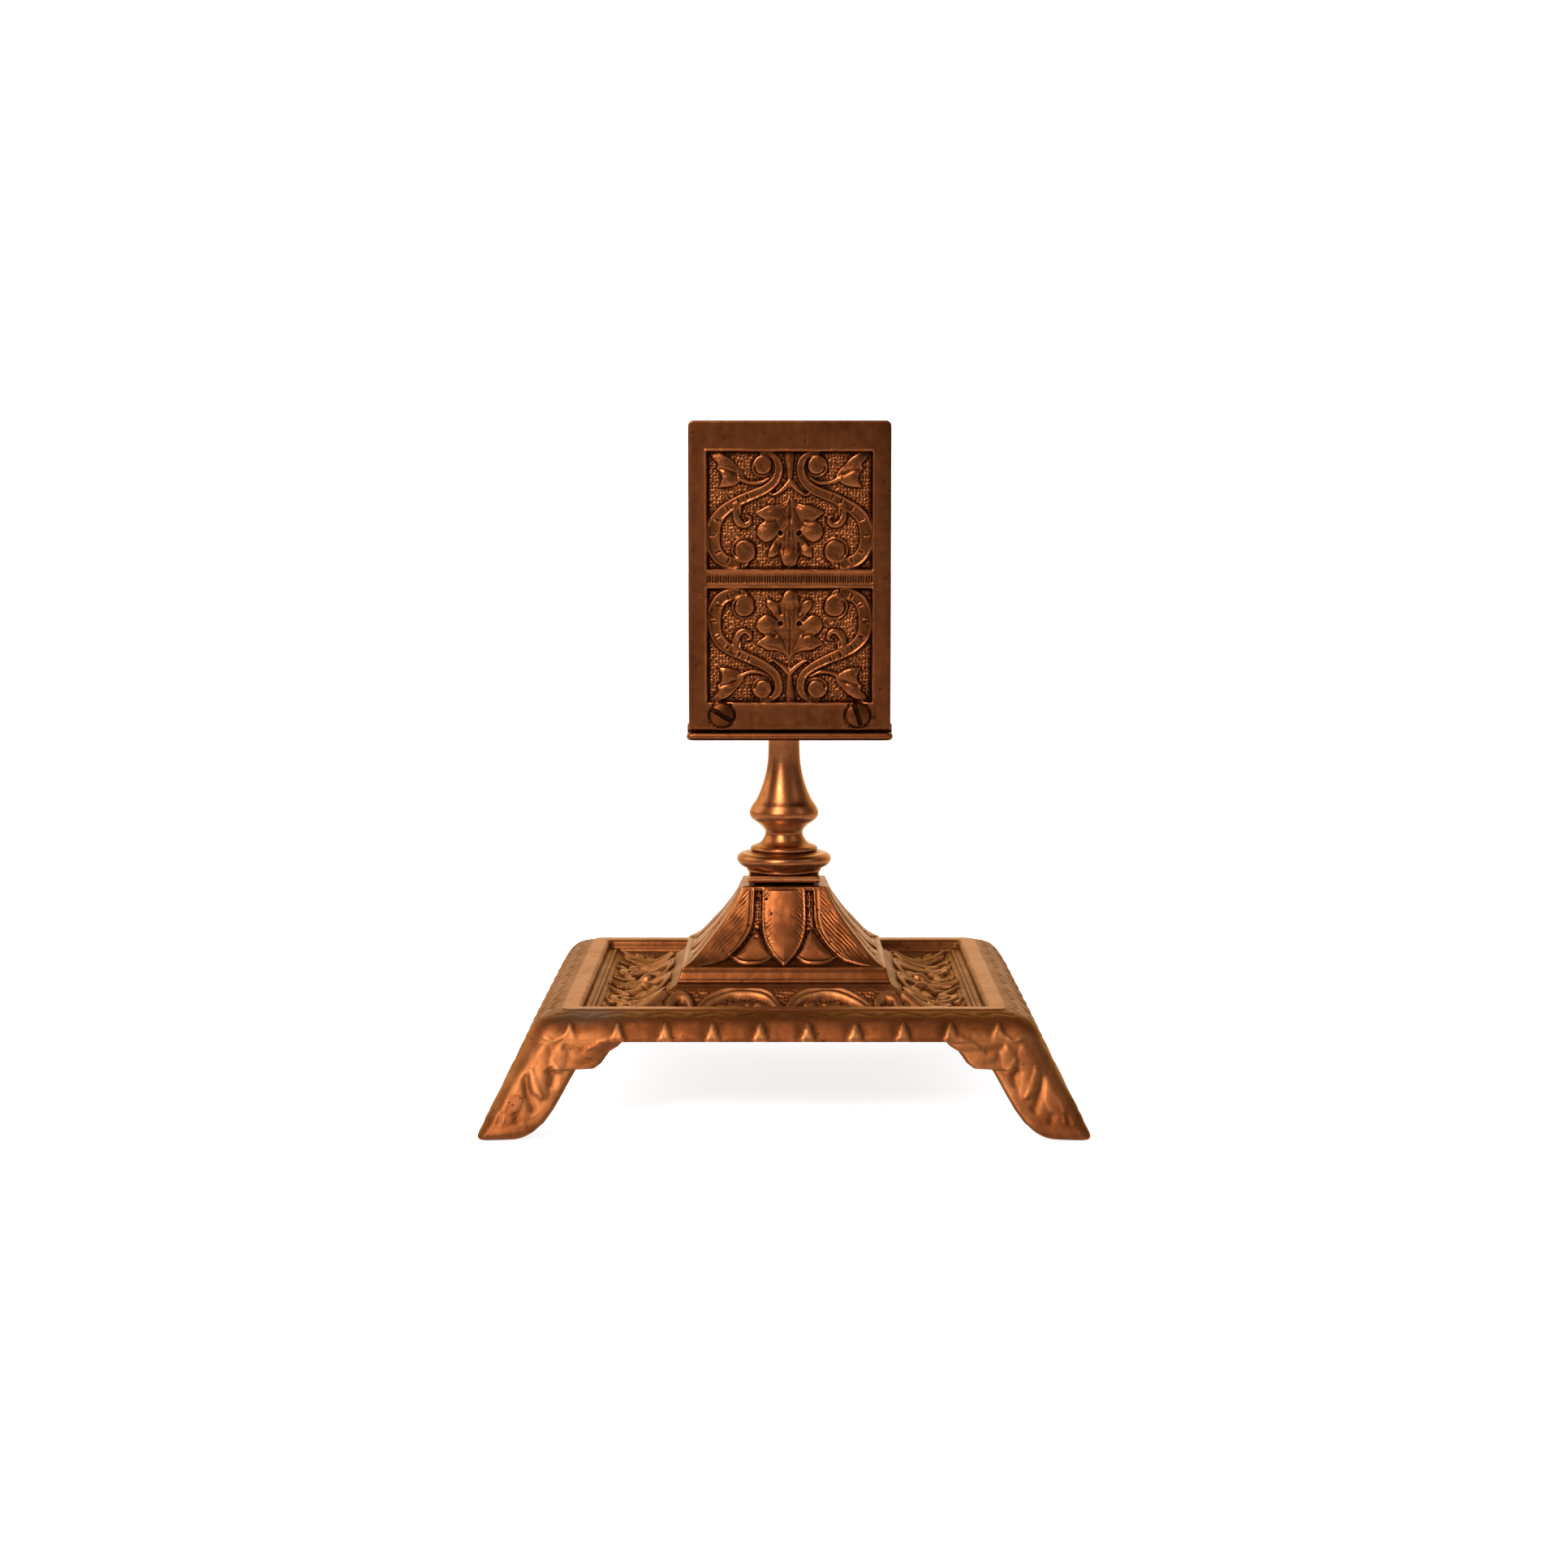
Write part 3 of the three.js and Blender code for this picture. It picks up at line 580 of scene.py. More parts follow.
def plate_piece(name, node, back, heads):
    """A case plate, one closed slab with its relief outside, facing -Y, turned round for the back."""
    def axis(lo, hi, fine_lo, fine_hi, step):
        edge_at = np.array([0.0, 0.05, 0.14, 0.3, 0.55])
        edge_drop = np.array([0.42, 0.2, 0.08, 0.015, 0.0])
        frame_lo = np.linspace(lo + 0.9, fine_lo - 0.6, 7)
        frame_hi = np.linspace(fine_hi + 0.6, hi - 0.9, 7)
        mid = np.linspace(fine_lo - 0.5, fine_hi + 0.5, int((fine_hi - fine_lo + 1) / step))
        at = np.concatenate([
            [lo + 0.5, lo + 0.12, lo], lo + edge_at, frame_lo, mid, frame_hi, (hi - edge_at)[::-1],
            [hi, hi - 0.12, hi - 0.5],
        ])
        turned_down = [PLATE_THICK, PLATE_THICK, PLATE_THICK - 0.15]
        drop = np.concatenate(
            [turned_down, edge_drop, np.zeros(14 + len(mid)), edge_drop[::-1], turned_down[::-1]]
        )
        return at, drop

    ax, dx = axis(-PLATE_HALF, PLATE_HALF, -PANEL_HALF, PANEL_HALF, 0.15)
    az, dz = axis(PLATE_BOTTOM, PLATE_TOP, PANEL_BOTTOM, PANEL_TOP, 0.155)
    x, z = np.meshgrid(ax, az)
    drop = np.maximum(*np.meshgrid(dx, dz))
    lower = z < BAR_Z
    v = np.where(lower, BAR_Z - BAR_HALF - z, (z - BAR_Z - BAR_HALF) * PATTERN_HIGH / UPPER_HIGH)
    depth = np.where(lower, BAR_Z - BAR_HALF - PANEL_BOTTOM, PATTERN_HIGH)
    wobble = 0.25 * noise_a.sway(x, z, 0.9, 30) + 0.5 * noise_b.sway(x, z, 0.21, 9) * 0.6
    ornament = plate_pattern(np.abs(x + 0.35 * noise_b.sway(x, z, 0.25)), v + 0.25 * wobble)
    ornament.h += (0.05 * noise_a.sway(x, z, 1.1) + 0.04 * noise_b.sway(x, z, 2.3)) * ornament.cover
    ground = 0.04 + 0.26 * punched(x, z, 0.6) + 0.1 * noise_a(x * 0.9, z * 0.9)
    relief = np.where(ornament.cover > 0, np.maximum(ornament.h, ground * (1 - ornament.cover)), ground)
    # inside of the panel: distance in from its edge, a little uneven as cast
    inside = np.minimum(np.minimum(PANEL_HALF - np.abs(x), v), depth - v) + 0.22 * wobble
    wall = smooth(inside, -0.12, 0.42)
    # the bar: a roll below, a reeded hollow, a fillet above
    up = z - (BAR_Z - BAR_HALF)
    over_panel = smooth(-np.abs(x), -PANEL_HALF - 0.1, -PANEL_HALF + 0.3)
    hollow = smooth(up, 0.95, 1.2) * smooth(-up, -2.75, -2.35) * over_panel
    reeds = 0.2 * np.cos(2 * math.pi * x / 0.5) * hollow
    lines = ridge(up - 1.05, 0.1) + ridge(up - 2.75, 0.1) + 0.7 * ridge(up - 0.2, 0.12)
    height = -POCKET * wall + np.minimum(relief, POCKET - 0.02) * wall
    height = height - 0.3 * hollow + reeds - 0.16 * lines * over_panel
    height = height + 0.16 * noise_a(x * 0.7 + 5, z * 0.7) * ridge(inside + 0.2, 0.13)
    on_plate = smooth(-drop, -0.3, 0)
    height = (height + 0.05 * noise_a.sway(x, z, 0.35) + 0.03 * noise_b.sway(x, z, 1.1)) * on_plate
    # small casting pits and the step worn round each screw head
    pits = [
        (18.6, 72.2, 0.28), (-17.9, 96.0, 0.2), (17.4, 118.6, 0.2), (3.1, 125.8, 0.18), (-9.0, 73.3, 0.16),
    ]
    height = pitted(height, x, z, pits, 0.2, 0.4)
    for sx, sz, sr in heads:
        height -= 0.22 * ridge(np.hypot(x - sx, z - sz) - sr - 0.1, 0.16) * on_plate
    worn_and_shaded = wear_and_shade(height, gain=2.4)
    edge = smooth(drop, 0.0, 0.12) * smooth(-drop, -1.2, -0.4)
    worn_and_shaded = unit(worn_and_shaded + 0.35 * edge + 0.16 * wall * (1 - ornament.cover))
    face = plate_lo[1]
    y = face - height + drop
    for corner_at, corner_radius in ((PLATE_TOP, 1.1), (PLATE_BOTTOM, 0.5)):
        short = 1 - dome(np.abs(z - corner_at) / corner_radius)
        x = x * (1 - corner_radius * short / PLATE_HALF)
    points = np.stack([x, y, z], -1).reshape(-1, 3)
    rows, cols = x.shape
    faces = grid_faces(rows, cols)
    rim = list(range(cols)) + [i * cols + cols - 1 for i in range(1, rows)]
    rim += [(rows - 1) * cols + j for j in range(cols - 2, -1, -1)] + [
        i * cols for i in range(rows - 2, 0, -1)
    ]
    faces.append(tuple(rim[::-1]))
    if back:
        points = points * np.array([-1, -1, 1])
    points = points + np.array([CASE_X, 0, 0])
    piece(name, points, faces, [node], plate_cast, {"wear_and_shade": worn_and_shaded}, flat=1)


screws = {}
for place in ("front_left", "front_right", "back_left", "back_right"):
    lo, hi = span("screw_" + place)
    screws[place] = ((lo[0] + hi[0]) / 2, (lo[2] + hi[2]) / 2, (hi[0] - lo[0]) / 2, lo, hi)
front_heads = [(x - CASE_X, z, r) for x, z, r in (screws["front_left"][:3], screws["front_right"][:3])]
plate_piece("front_plate_relief", "front_plate", False, front_heads)
plate_piece("back_plate_relief", "back_plate", True, front_heads)


# ------------------------------------------------------------------ base, border and feet
LEAF = 8.65  # pitch of the border leaves
EDGE_HALF, EDGE_Z, EDGE_RADIUS = 47.3, 16.4, 4.6  # lower edge of the border
FILLET_HALF, FILLET_Z = 41.1, 21.0  # top of the sloping border
TOE_RADIUS, SPLAY = 1.7, 0.505  # corner radius on the ground, and how far the feet lean out per mm of height
FOOT_WALL = 3.0


def panel_pattern(a, h):
    """Relief of the dish. a runs along a side from its middle, h outward."""
    x = np.abs(a)
    r = Relief(x, h)
    # a large C-scroll each side of the middle
    arch = [
        (0.9, 34.6), (0.85, 30.0), (1.2, 26.2), (2.8, 23.9), (5.6, 22.9), (9.4, 22.8), (13.0, 24.0),
        (15.8, 26.2),
        (17.2, 29.4), (16.4, 32.2), (14.0, 33.0), (12.4, 31.4), (13.4, 29.9),
    ]
    r.stroke(arch, [0.6, 0.85, 0.95, 1.0, 1.05, 1.1, 1.1, 1.1, 1.1, 1.0, 0.9, 0.8, 0.7], 1.05, edge=0.6)
    r.groove(arch[2:9], 0.2, 0.28)
    r.disc((14.4, 30.9), 1.1, 1.15, 0.7)
    # leaf inside the scroll, with a boss at its root
    r.shape([
        (2.7, 30.0), (3.2, 26.6), (5.6, 25.0), (9.4, 24.8), (12.6, 26.3), (14.0, 28.6), (11.6, 28.2),
        (9.6, 29.4), (7.4, 29.0), (5.0, 32.0),
    ], 0.95, 1.5)
    r.boss((4.6, 27.6), 2.1, 1.3)
    r.stroke([(5.4, 34.2), (6.8, 31.9), (9.2, 31.0), (10.8, 32.4)], [0.5, 1.1, 1.0, 0.3], 0.95, vein=0.2)
    r.groove([(3.6, 30.0), (6.2, 27.6), (9.6, 26.6), (12.4, 27.0)], 0.22, 0.3)
    r.pit((7.3, 26.0), 0.5, 0.8)
    # small scroll next to the corner leaf
    outer = [
        (17.6, 27.0), (17.9, 24.8), (19.4, 23.6), (21.2, 24.3), (22.0, 26.8), (22.4, 30.0), (20.8, 31.6),
        (19.4, 30.2),
    ]
    r.stroke(outer, [0.6, 0.85, 0.95, 0.95, 0.95, 0.9, 0.8, 0.6], 1.05, edge=0.6)
    r.shape([(19.0, 27.6), (19.3, 25.6), (20.4, 26.2), (20.8, 28.2), (20.0, 29.4)], 0.85, 0.8)
    r.stroke([(17.4, 34.4), (18.6, 33.2), (20.2, 33.6)], [0.4, 0.85, 0.3], 0.9, vein=0.18)
    # corner acanthus, its spine on the diagonal
    r.stroke([(22.6, 23.6), (28.4, 28.8), (34.0, 34.2)], [0.8, 1.5, 0.3], 1.3)
    for k in range(4):
        root = 23.6 + 2.3 * k
        reach = 4.9 - 1.0 * k
        leaf = [(root, root + 0.8), (root - 0.2, root + 0.9 + reach * 0.55), (root + 1.0, root + 1.4 + reach)]
        r.stroke(leaf, [0.7, 1.05, 0.2], 1.15, vein=0.22)
    r.stroke([(23.6, 34.4), (24.4, 33.0), (24.0, 31.0)], [0.3, 0.9, 0.25], 0.85, vein=0.2)
    return r


def border_pattern(a, s):
    """Leaves of the sloping border. s is 0 at the fillet and 1 at the bottom edge."""
    u = a / LEAF
    c = np.abs(u - np.round(u)) * 2  # 0 on a leaf's middle, 1 between two leaves
    d = 1 - c
    lean = np.sign(u - np.round(u))
    # a lappet is almost flat, and its round end leaves a wedge of ground with a raised dart on each side
    end = unit(s - 0.56) / 0.44
    dart = smooth(0.03 + 0.3 * end - d, -0.03, 0.1) * smooth(s, 0.56, 0.68)
    lappet = 0.08 * (1 - c * c) * smooth(s, 0.2, 0.8) - 0.1 * smooth(c, 0.3, 0.75) * smooth(s, 0.35, 0.7)
    lower = lappet + dart * (0.3 + 0.2 * lean * d)
    # the row above shows as small points half way between, just under the fillet
    tip = unit(1 - c / (0.04 + 0.5 * unit(s - 0.1)))
    upper = 0.1 * tip * smooth(s, 0.08, 0.2) * smooth(-s, -0.5, -0.3)
    under_row = 0.14 * ridge(s - 0.34 + 0.2 * c * c, 0.07) * smooth(c, 0.1, 0.35)
    return (lower + upper - under_row) * (1 - 0.7 * smooth(s, 0.93, 1.0)), dart


def foot_pattern(a, z):
    """Acanthus of a bracket foot. a is the distance from the middle of the side, z the height."""
    r = Relief(np.abs(a), z)
    for leaf, rise, edge in (
        ([
            (46.0, 16.2), (48.6, 13.2), (50.6, 8.6), (52.6, 4.6), (52.0, 2.6), (49.4, 2.6), (48.0, 4.0),
            (46.8, 7.0), (46.2, 10.5), (44.9, 13.6),
        ], 0.3, 3.0),
        ([
            (44.9, 15.2), (46.1, 12.6), (45.6, 10.4), (44.6, 8.6), (43.1, 6.7), (42.3, 7.7), (42.5, 9.8),
            (42.3, 12.0), (42.3, 14.6), (43.4, 16.2),
        ], 0.34, 2.4),
        ([
            (42.0, 14.8), (42.1, 13.0), (41.0, 11.6), (40.0, 11.1), (39.5, 12.6), (39.2, 14.6), (40.4, 16.0),
        ], 0.26, 2.0),
        ([
            (38.6, 15.3), (36.0, 15.0), (33.4, 16.3), (31.0, 18.2), (30.2, 16.6), (32.4, 14.4), (35.0, 13.0),
            (38.2, 13.2),
        ], 0.26, 2.2),
    ):
        r.shape(leaf, rise, edge)
    for rib, width, rise in (
        ([(45.6, 12.4), (45.3, 10.4), (44.4, 8.6), (43.5, 7.3)], 1.5, 0.46),
        ([(41.9, 13.6), (41.3, 12.4), (40.6, 11.6)], 1.1, 0.38),
        ([(48.2, 12.6), (49.6, 8.8), (50.3, 5.2), (50.3, 3.2)], 1.6, 0.4),
        ([(43.8, 17.4), (41.6, 16.5), (39.6, 17.9)], 0.4, 0.2),
        ([(30.4, 18.6), (32.4, 16.5), (35.2, 15.4)], 1.0, 0.34),
    ):
        r.stroke(rib, [0.5, width, width, 0.5], rise, flat=1.2)
    for slit, width, depth in (
        ([(46.7, 11.4), (46.2, 8.6), (45.2, 5.8), (44.7, 4.4)], 0.75, 0.42),
        ([(42.6, 12.2), (41.5, 10.6), (41.7, 8.6)], 0.7, 0.36),
        ([(50.4, 5.0), (51.0, 3.8), (51.3, 2.6)], 0.5, 0.24),
        ([(48.4, 4.9), (47.9, 3.6), (47.8, 2.6)], 0.65, 0.26),
        ([(40.2, 15.8), (38.0, 15.0), (36.2, 14.8)], 0.6, 0.24),
    ):
        r.groove(slit, width, depth)
    return 0.52 * r.h - 0.2 * smooth(-z, -16.4, -12.5)


def foot_edge(z):
    """Inner edge of a foot, as a distance from the middle of the side."""
    step = [
        (EDGE_Z, 29.2), (15.4, 30.3), (14.7, 31.6), (13.8, 32.3), (12.7, 33.1), (11.85, 34.3), (11.7, 37.6),
    ]
    sweep = [(10.2, 38.5), (7.5, 40.0), (5.0, 41.5), (2.9, 43.1), (1.4, 44.9), (0.5, 46.5), (0.0, 48.3)]
    zs, xs = zip(*(step + sweep)[::-1])
    return np.interp(z, zs, xs)


def base_outline():
    """Section of the top, from under the pyramid out to the lower edge of the border."""
    step = fillet([(19.0, 22.2), (20.65, 22.2), (21.0, 21.95), (21.8, 21.5)], 0.12, 3)
    dish = spline([(21.8, 21.5), (24.4, 19.3), (27.4, 17.6), (30.4, 17.2), (33.2, 17.8), (35.1, 18.9)])
    frame_edge = [
        (35.1, 18.9), (35.5, 19.2), (35.65, 19.7), (36.1, 19.75), (36.4, 19.45), (37.2, 19.5), (37.45, 20.7),
        (38.0, 21.2), (40.8, 21.3),
    ]
    rim = fillet(frame_edge + [(FILLET_HALF, FILLET_Z)], 0.22, 4)
    slope = spline([
        (FILLET_HALF, FILLET_Z), (41.5, 20.93), (43.0, 20.6), (44.6, 19.8), (45.9, 18.55), (46.9, 17.2),
        (EDGE_HALF, EDGE_Z),
    ], 7)
    line = np.vstack([step, dish[1:], rim[1:], slope[1:]])
    out = [line[0]]
    for a, b in pairs(line):
        n = int(math.ceil(np.hypot(*(b - a)) / 0.3))
        out += [a + (b - a) * k / n for k in range(1, n + 1) if np.hypot(*(b - a)) > 0.02]
    return np.array(out)


def base_top(along, corner):
    """Dished plate, raised fillet and border: the points, and a shading level for each, from tarnish and
    rubbing and from painted shade and highlight.
    """
    top = base_outline()
    radii = np.interp(
        top[:, 0], [19, 22, 36, 40.9, 44, 46, EDGE_HALF], [0.25, 0.5, 0.8, 1.7, 2.6, 3.4, EDGE_RADIUS],
    )
    run, rings, a, h, z = section_rings(top, radii, along, corner)
    # relief rises straight up in the dish, so that the sides meet on the mitres, and off the slope outside
    on_border = top[:, 0] > FILLET_HALF - 1.0
    out = np.where(on_border, -run[:, 1], 0.0)
    up = np.where(on_border, run[:, 0], 1.0)
    wander = 0.3 * noise_a.sway(a, h, 0.5, 20)
    ornament = panel_pattern(a + wander, h + wander)
    ground = 0.3 * punched(a, h, 0.66, 9) - 0.12
    dish = np.where(ornament.cover > 0, np.maximum(ornament.h, ground * (1 - ornament.cover)), ground)
    dish = dish * smooth(h, 21.8, 22.6) * smooth(-h, -35.3, -34.4)
    s = unit((h - FILLET_HALF) / (EDGE_HALF - FILLET_HALF))
    at_foot = smooth(-z, -19.4, -16.6) * smooth(np.abs(a), 29.0, 33.0)
    border, dart = border_pattern(a, s)
    border = border * (1 - 0.85 * at_foot) + foot_pattern(a, z) * at_foot
    relief = dish + border * smooth(s, 0.02, 0.2)
    relief = relief + 0.05 * (noise_b(a * 0.4, h * 0.8) - 0.5) + 0.03 * noise_a.sway(a, h, 1.2)
    # lighter on the flat fillet, the feet and the darts, a painted highlight where these faces catch the
    # light; darker down the slope
    worn_and_shaded = wear_and_shade(relief, wrap=True, gain=1.3) + 0.42 * smooth(h, 37.8, 38.2) * smooth(-h, -41.0, -40.6)
    worn_and_shaded = worn_and_shaded - 0.06 * smooth(h, 41, 41.6) - 0.14 * smooth(h, 42.5, 45.0)
    worn_and_shaded = worn_and_shaded + 0.36 * at_foot + 0.34 * dart * (1 - at_foot)
    return raised(rings, top, relief, out, up), unit(worn_and_shaded)


def base_feet(down, along, corner, low_t):
    """Outer and inner skins of the feet, as rows under the border, bunched inside each foot's cut edge."""
    outer, inner, heights = [], [], []
    for z in down:
        half = EDGE_HALF + SPLAY * (EDGE_Z - z) - 0.7 * (1 - dome(z / 1.3))
        radius = TOE_RADIUS + (EDGE_RADIUS - TOE_RADIUS) * z / EDGE_Z
        cut = float(foot_edge(z))
        share = (np.abs(along) - low_t) / (1 - low_t)
        bent = np.where(
            share >= -1e-9, np.sign(along) * (cut + share * (half - radius - cut)) / (half - radius), along,
        )
        p, n, place = square_ring(half, half, radius, bent, corner)
        away = np.abs(place) - cut
        leaf = foot_pattern(place, np.full(place.shape, z)) * smooth(away, 0.4, 3.6) * smooth(z, 1.0, 3.6)
        reach = min(7.0, half - cut)
        h = leaf - 0.8 * unit(1 - away / reach) ** 2.2 - 0.3 * max(0.0, 1 - z / 4.0) ** 2
        h = h - 0.5 * (1 - dome(away / 0.9))
        h = h - 0.4 * (1 - dome(z / 0.6))
        h = h + 0.04 * noise_b.sway(place, z, 0.6)
        outer.append(np.column_stack([p + n * (0.9 * h)[:, None], z + 0.4 * leaf]))
        back_half, back_radius = half - FOOT_WALL, max(0.4, radius - FOOT_WALL)
        back_bent = bent * (half - radius) / (back_half - back_radius)
        inner.append(level_ring(back_half, back_half, back_radius, z, back_bent, corner))
        heights.append(h)
    # painted shade: the feet darker towards the toe, lighter higher up
    worn_and_shaded = wear_and_shade(np.array(heights), gain=0.8) - 0.14 + 0.2 * smooth(down, 1.0, 9.0)[:, None]
    return np.array(outer), np.array(inner), unit(worn_and_shaded)


def base_piece():
    """The base casting, one closed skin: top, border, feet and underside."""
    foot_columns = 40
    low_t = float(foot_edge(EDGE_Z)) / (EDGE_HALF - EDGE_RADIUS)
    at_foot = np.linspace(low_t, 1, foot_columns)
    along = np.concatenate([-at_foot[::-1], np.linspace(-low_t, low_t, 130)[1:-1], at_foot])
    corner = 12
    top, top_worn_and_shaded = base_top(along, corner)
    down = np.concatenate([
        np.linspace(EDGE_Z - 0.2, 12.0, 18), [11.85, 11.78, 11.7, 11.5], np.linspace(11.2, 1.0, 44),
        [0.7, 0.4, 0.15, 0.0],
    ])
    outer, inner, foot_worn_and_shaded = base_feet(down, along, corner, low_t)
    hollow = [
        (44.3, 16.4), (43.8, 16.7), (38.3, 19.1), (36.6, 17.8), (34.6, 16.4), (30.6, 14.9), (27.2, 15.4),
    ]
    hollow += [(23.6, 17.4), (20.8, 19.6), (19.4, 20.2), (9.0, 20.2)]
    below = np.array([level_ring(h, h, min(1.6, 0.1 * h), z, along, corner) for h, z in hollow])

    n_top, cols = top_worn_and_shaded.shape
    n_foot, n_low = len(down), len(below)
    points = np.vstack([block.reshape(-1, 3) for block in (top, outer, inner, below)])
    last = (n_top - 1) * cols
    outer_rows = [last] + [(n_top + i) * cols for i in range(n_foot)]
    low_row = (n_top + 2 * n_foot) * cols
    inner_rows = [low_row] + [(n_top + n_foot + i) * cols for i in range(n_foot)]
    faces = [f[::-1] for f in grid_faces(n_top, cols, wrap=True)]
    per_side = len(along) + corner
    for j in range(cols):
        k, place = (j + 1) % cols, j % per_side
        in_foot = place < foot_columns - 1 or place >= len(along) - foot_columns
        if not in_foot:
            faces.append((low_row + j, low_row + k, last + k, last + j))
            continue
        faces += [(b + j, b + k, a + k, a + j) for a, b in pairs(outer_rows)]
        faces += [(a + j, a + k, b + k, b + j) for a, b in pairs(inner_rows)]
        faces.append((inner_rows[-1] + j, inner_rows[-1] + k, outer_rows[-1] + k, outer_rows[-1] + j))
    for side in range(4):
        for place, first in ((foot_columns - 1, True), (len(along) - foot_columns, False)):
            j = side * per_side + place
            for (r0, r1), (s0, s1) in zip(pairs(outer_rows), pairs(inner_rows)):
                quad = (r0 + j, s0 + j, s1 + j, r1 + j)
                faces.append(quad[::-1] if first else quad)
    faces += [f[::-1] for f in grid_faces(n_low, cols, wrap=True, start=low_row)]
    faces.append(tuple(low_row + (n_low - 1) * cols + j for j in range(cols))[::-1])
    faces.append(tuple(range(cols)))
    used = np.unique(np.concatenate([np.array(f) for f in faces]))
    number = np.zeros(len(points), int)
    number[used] = np.arange(len(used))
    faces = [tuple(int(v) for v in number[list(f)]) for f in faces]
    worn_and_shaded = np.concatenate([
        top_worn_and_shaded.ravel(), foot_worn_and_shaded.ravel(), np.full(inner[..., 0].size, 0.38),
        np.full(below[..., 0].size, 0.3),
    ])
    stain_at, stain_size = np.array([-36.0, -42.0, 20.2]), np.array([9.0, 3.4, 2.2])
    stain = np.exp(-(((points - stain_at) / stain_size) ** 2).sum(1))
    piece(
        "base_relief", points[used], faces, ["base_casting"], base_cast,
        {"wear_and_shade": worn_and_shaded[used], "stain_and_sheen": stain[used]}, flat=2,
    )


base_piece()


# ------------------------------------------------------------------ pyramid
def pyramid_pattern(a, z, half):
    """Leaves of one face: a tongue in the middle, a leaf on each corner, and a low leaf between them."""
    x = np.abs(a)
    tongue = np.interp(z, [25.6, 26.0, 27.2, 28.4, 29.6, 31.2, 33.5, 36.0, 39.2], [
        0.0, 0.7, 2.2, 3.1, 3.75, 4.25, 4.45, 4.4, 4.3,
    ])
    corner = np.interp(z, [25.4, 25.95, 26.5, 27.1, 28.8, 30.2, 31.2, 32.2, 33.5, 39.2], [
        17.0, 13.6, 11.4, 10.3, 8.3, 7.15, 6.5, 6.05, 5.75, 5.5,
    ])
    lobe_low = 25.8 + 0.02 * np.abs(x - 6.2) ** 3
    lobe_top = np.interp(x, [0.6, 2.2, 3.6, 4.6, 5.2, 6.2, 7.8, 9.6, 11.4, 13.6], [
        25.6, 27.0, 29.2, 31.2, 31.9, 30.9, 28.9, 27.3, 26.3, 25.6,
    ])
    # each leaf swells from its edge, which is cut square
    into_tongue, into_corner = tongue - x, x - corner
    into_lobe = np.minimum(lobe_top - z, z - lobe_low) - 0.15
    in_tongue, in_corner, in_lobe = (smooth(d, -0.08, 0.14) for d in (into_tongue, into_corner, into_lobe))
    in_lobe = in_lobe * (1 - in_tongue) * (1 - in_corner)
    h = in_tongue * (0.4 + 0.46 * dome(into_tongue / 4.2))
    h = np.maximum(h, in_corner * (0.4 + 0.14 * dome(into_corner / 2.0)))
    h = np.maximum(h, in_lobe * (0.16 + 0.5 * dome(into_lobe / 2.6)))
    # raised rim lines
    h += 0.16 * ridge(into_tongue - 0.32, 0.2) * smooth(z, 25.6, 26.2)
    h += 0.2 * ridge(into_corner - 0.4, 0.2)
    h += 0.36 * ridge(z - lobe_low - 0.16, 0.26) * smooth(-np.abs(x - 6.2), -4.6, -3.6) * (1 - in_tongue)
    h -= 0.06 * ridge(into_corner - 0.9, 0.22)
    # fine feathering across the leaves
    lean = 0.5 + 0.5 * np.cos((z * 0.72 + x * 0.7 + 0.25 * noise_a(x * 0.8, z * 0.8)) * 2 * math.pi / 0.62)
    feathered = in_corner * smooth(into_corner, 1.2, 2.2) * smooth(half - x, 0.6, 1.6)
    feathered = feathered + in_tongue * smooth(x, 2.0, 3.0)
    h -= 0.1 * lean * noise_b(x * 0.9 + 7, z * 0.9) * feathered
    ground = (1 - in_tongue) * (1 - in_corner) * (1 - in_lobe)
    h = h + ground * 0.3 * (punched(a, z, 0.5, 21) - 0.6) * smooth(z, 27.0, 28.6)
    h = np.maximum(h, 0.26 * (1 - smooth(z, 25.9, 27.6)))
    outline = ridge(into_tongue + 0.12, 0.3) + ridge(into_corner + 0.12, 0.3)
    return h - 0.35 * outline * (1 - punched(a, z, 0.42, 33)) * smooth(z, 26.4, 28.0)


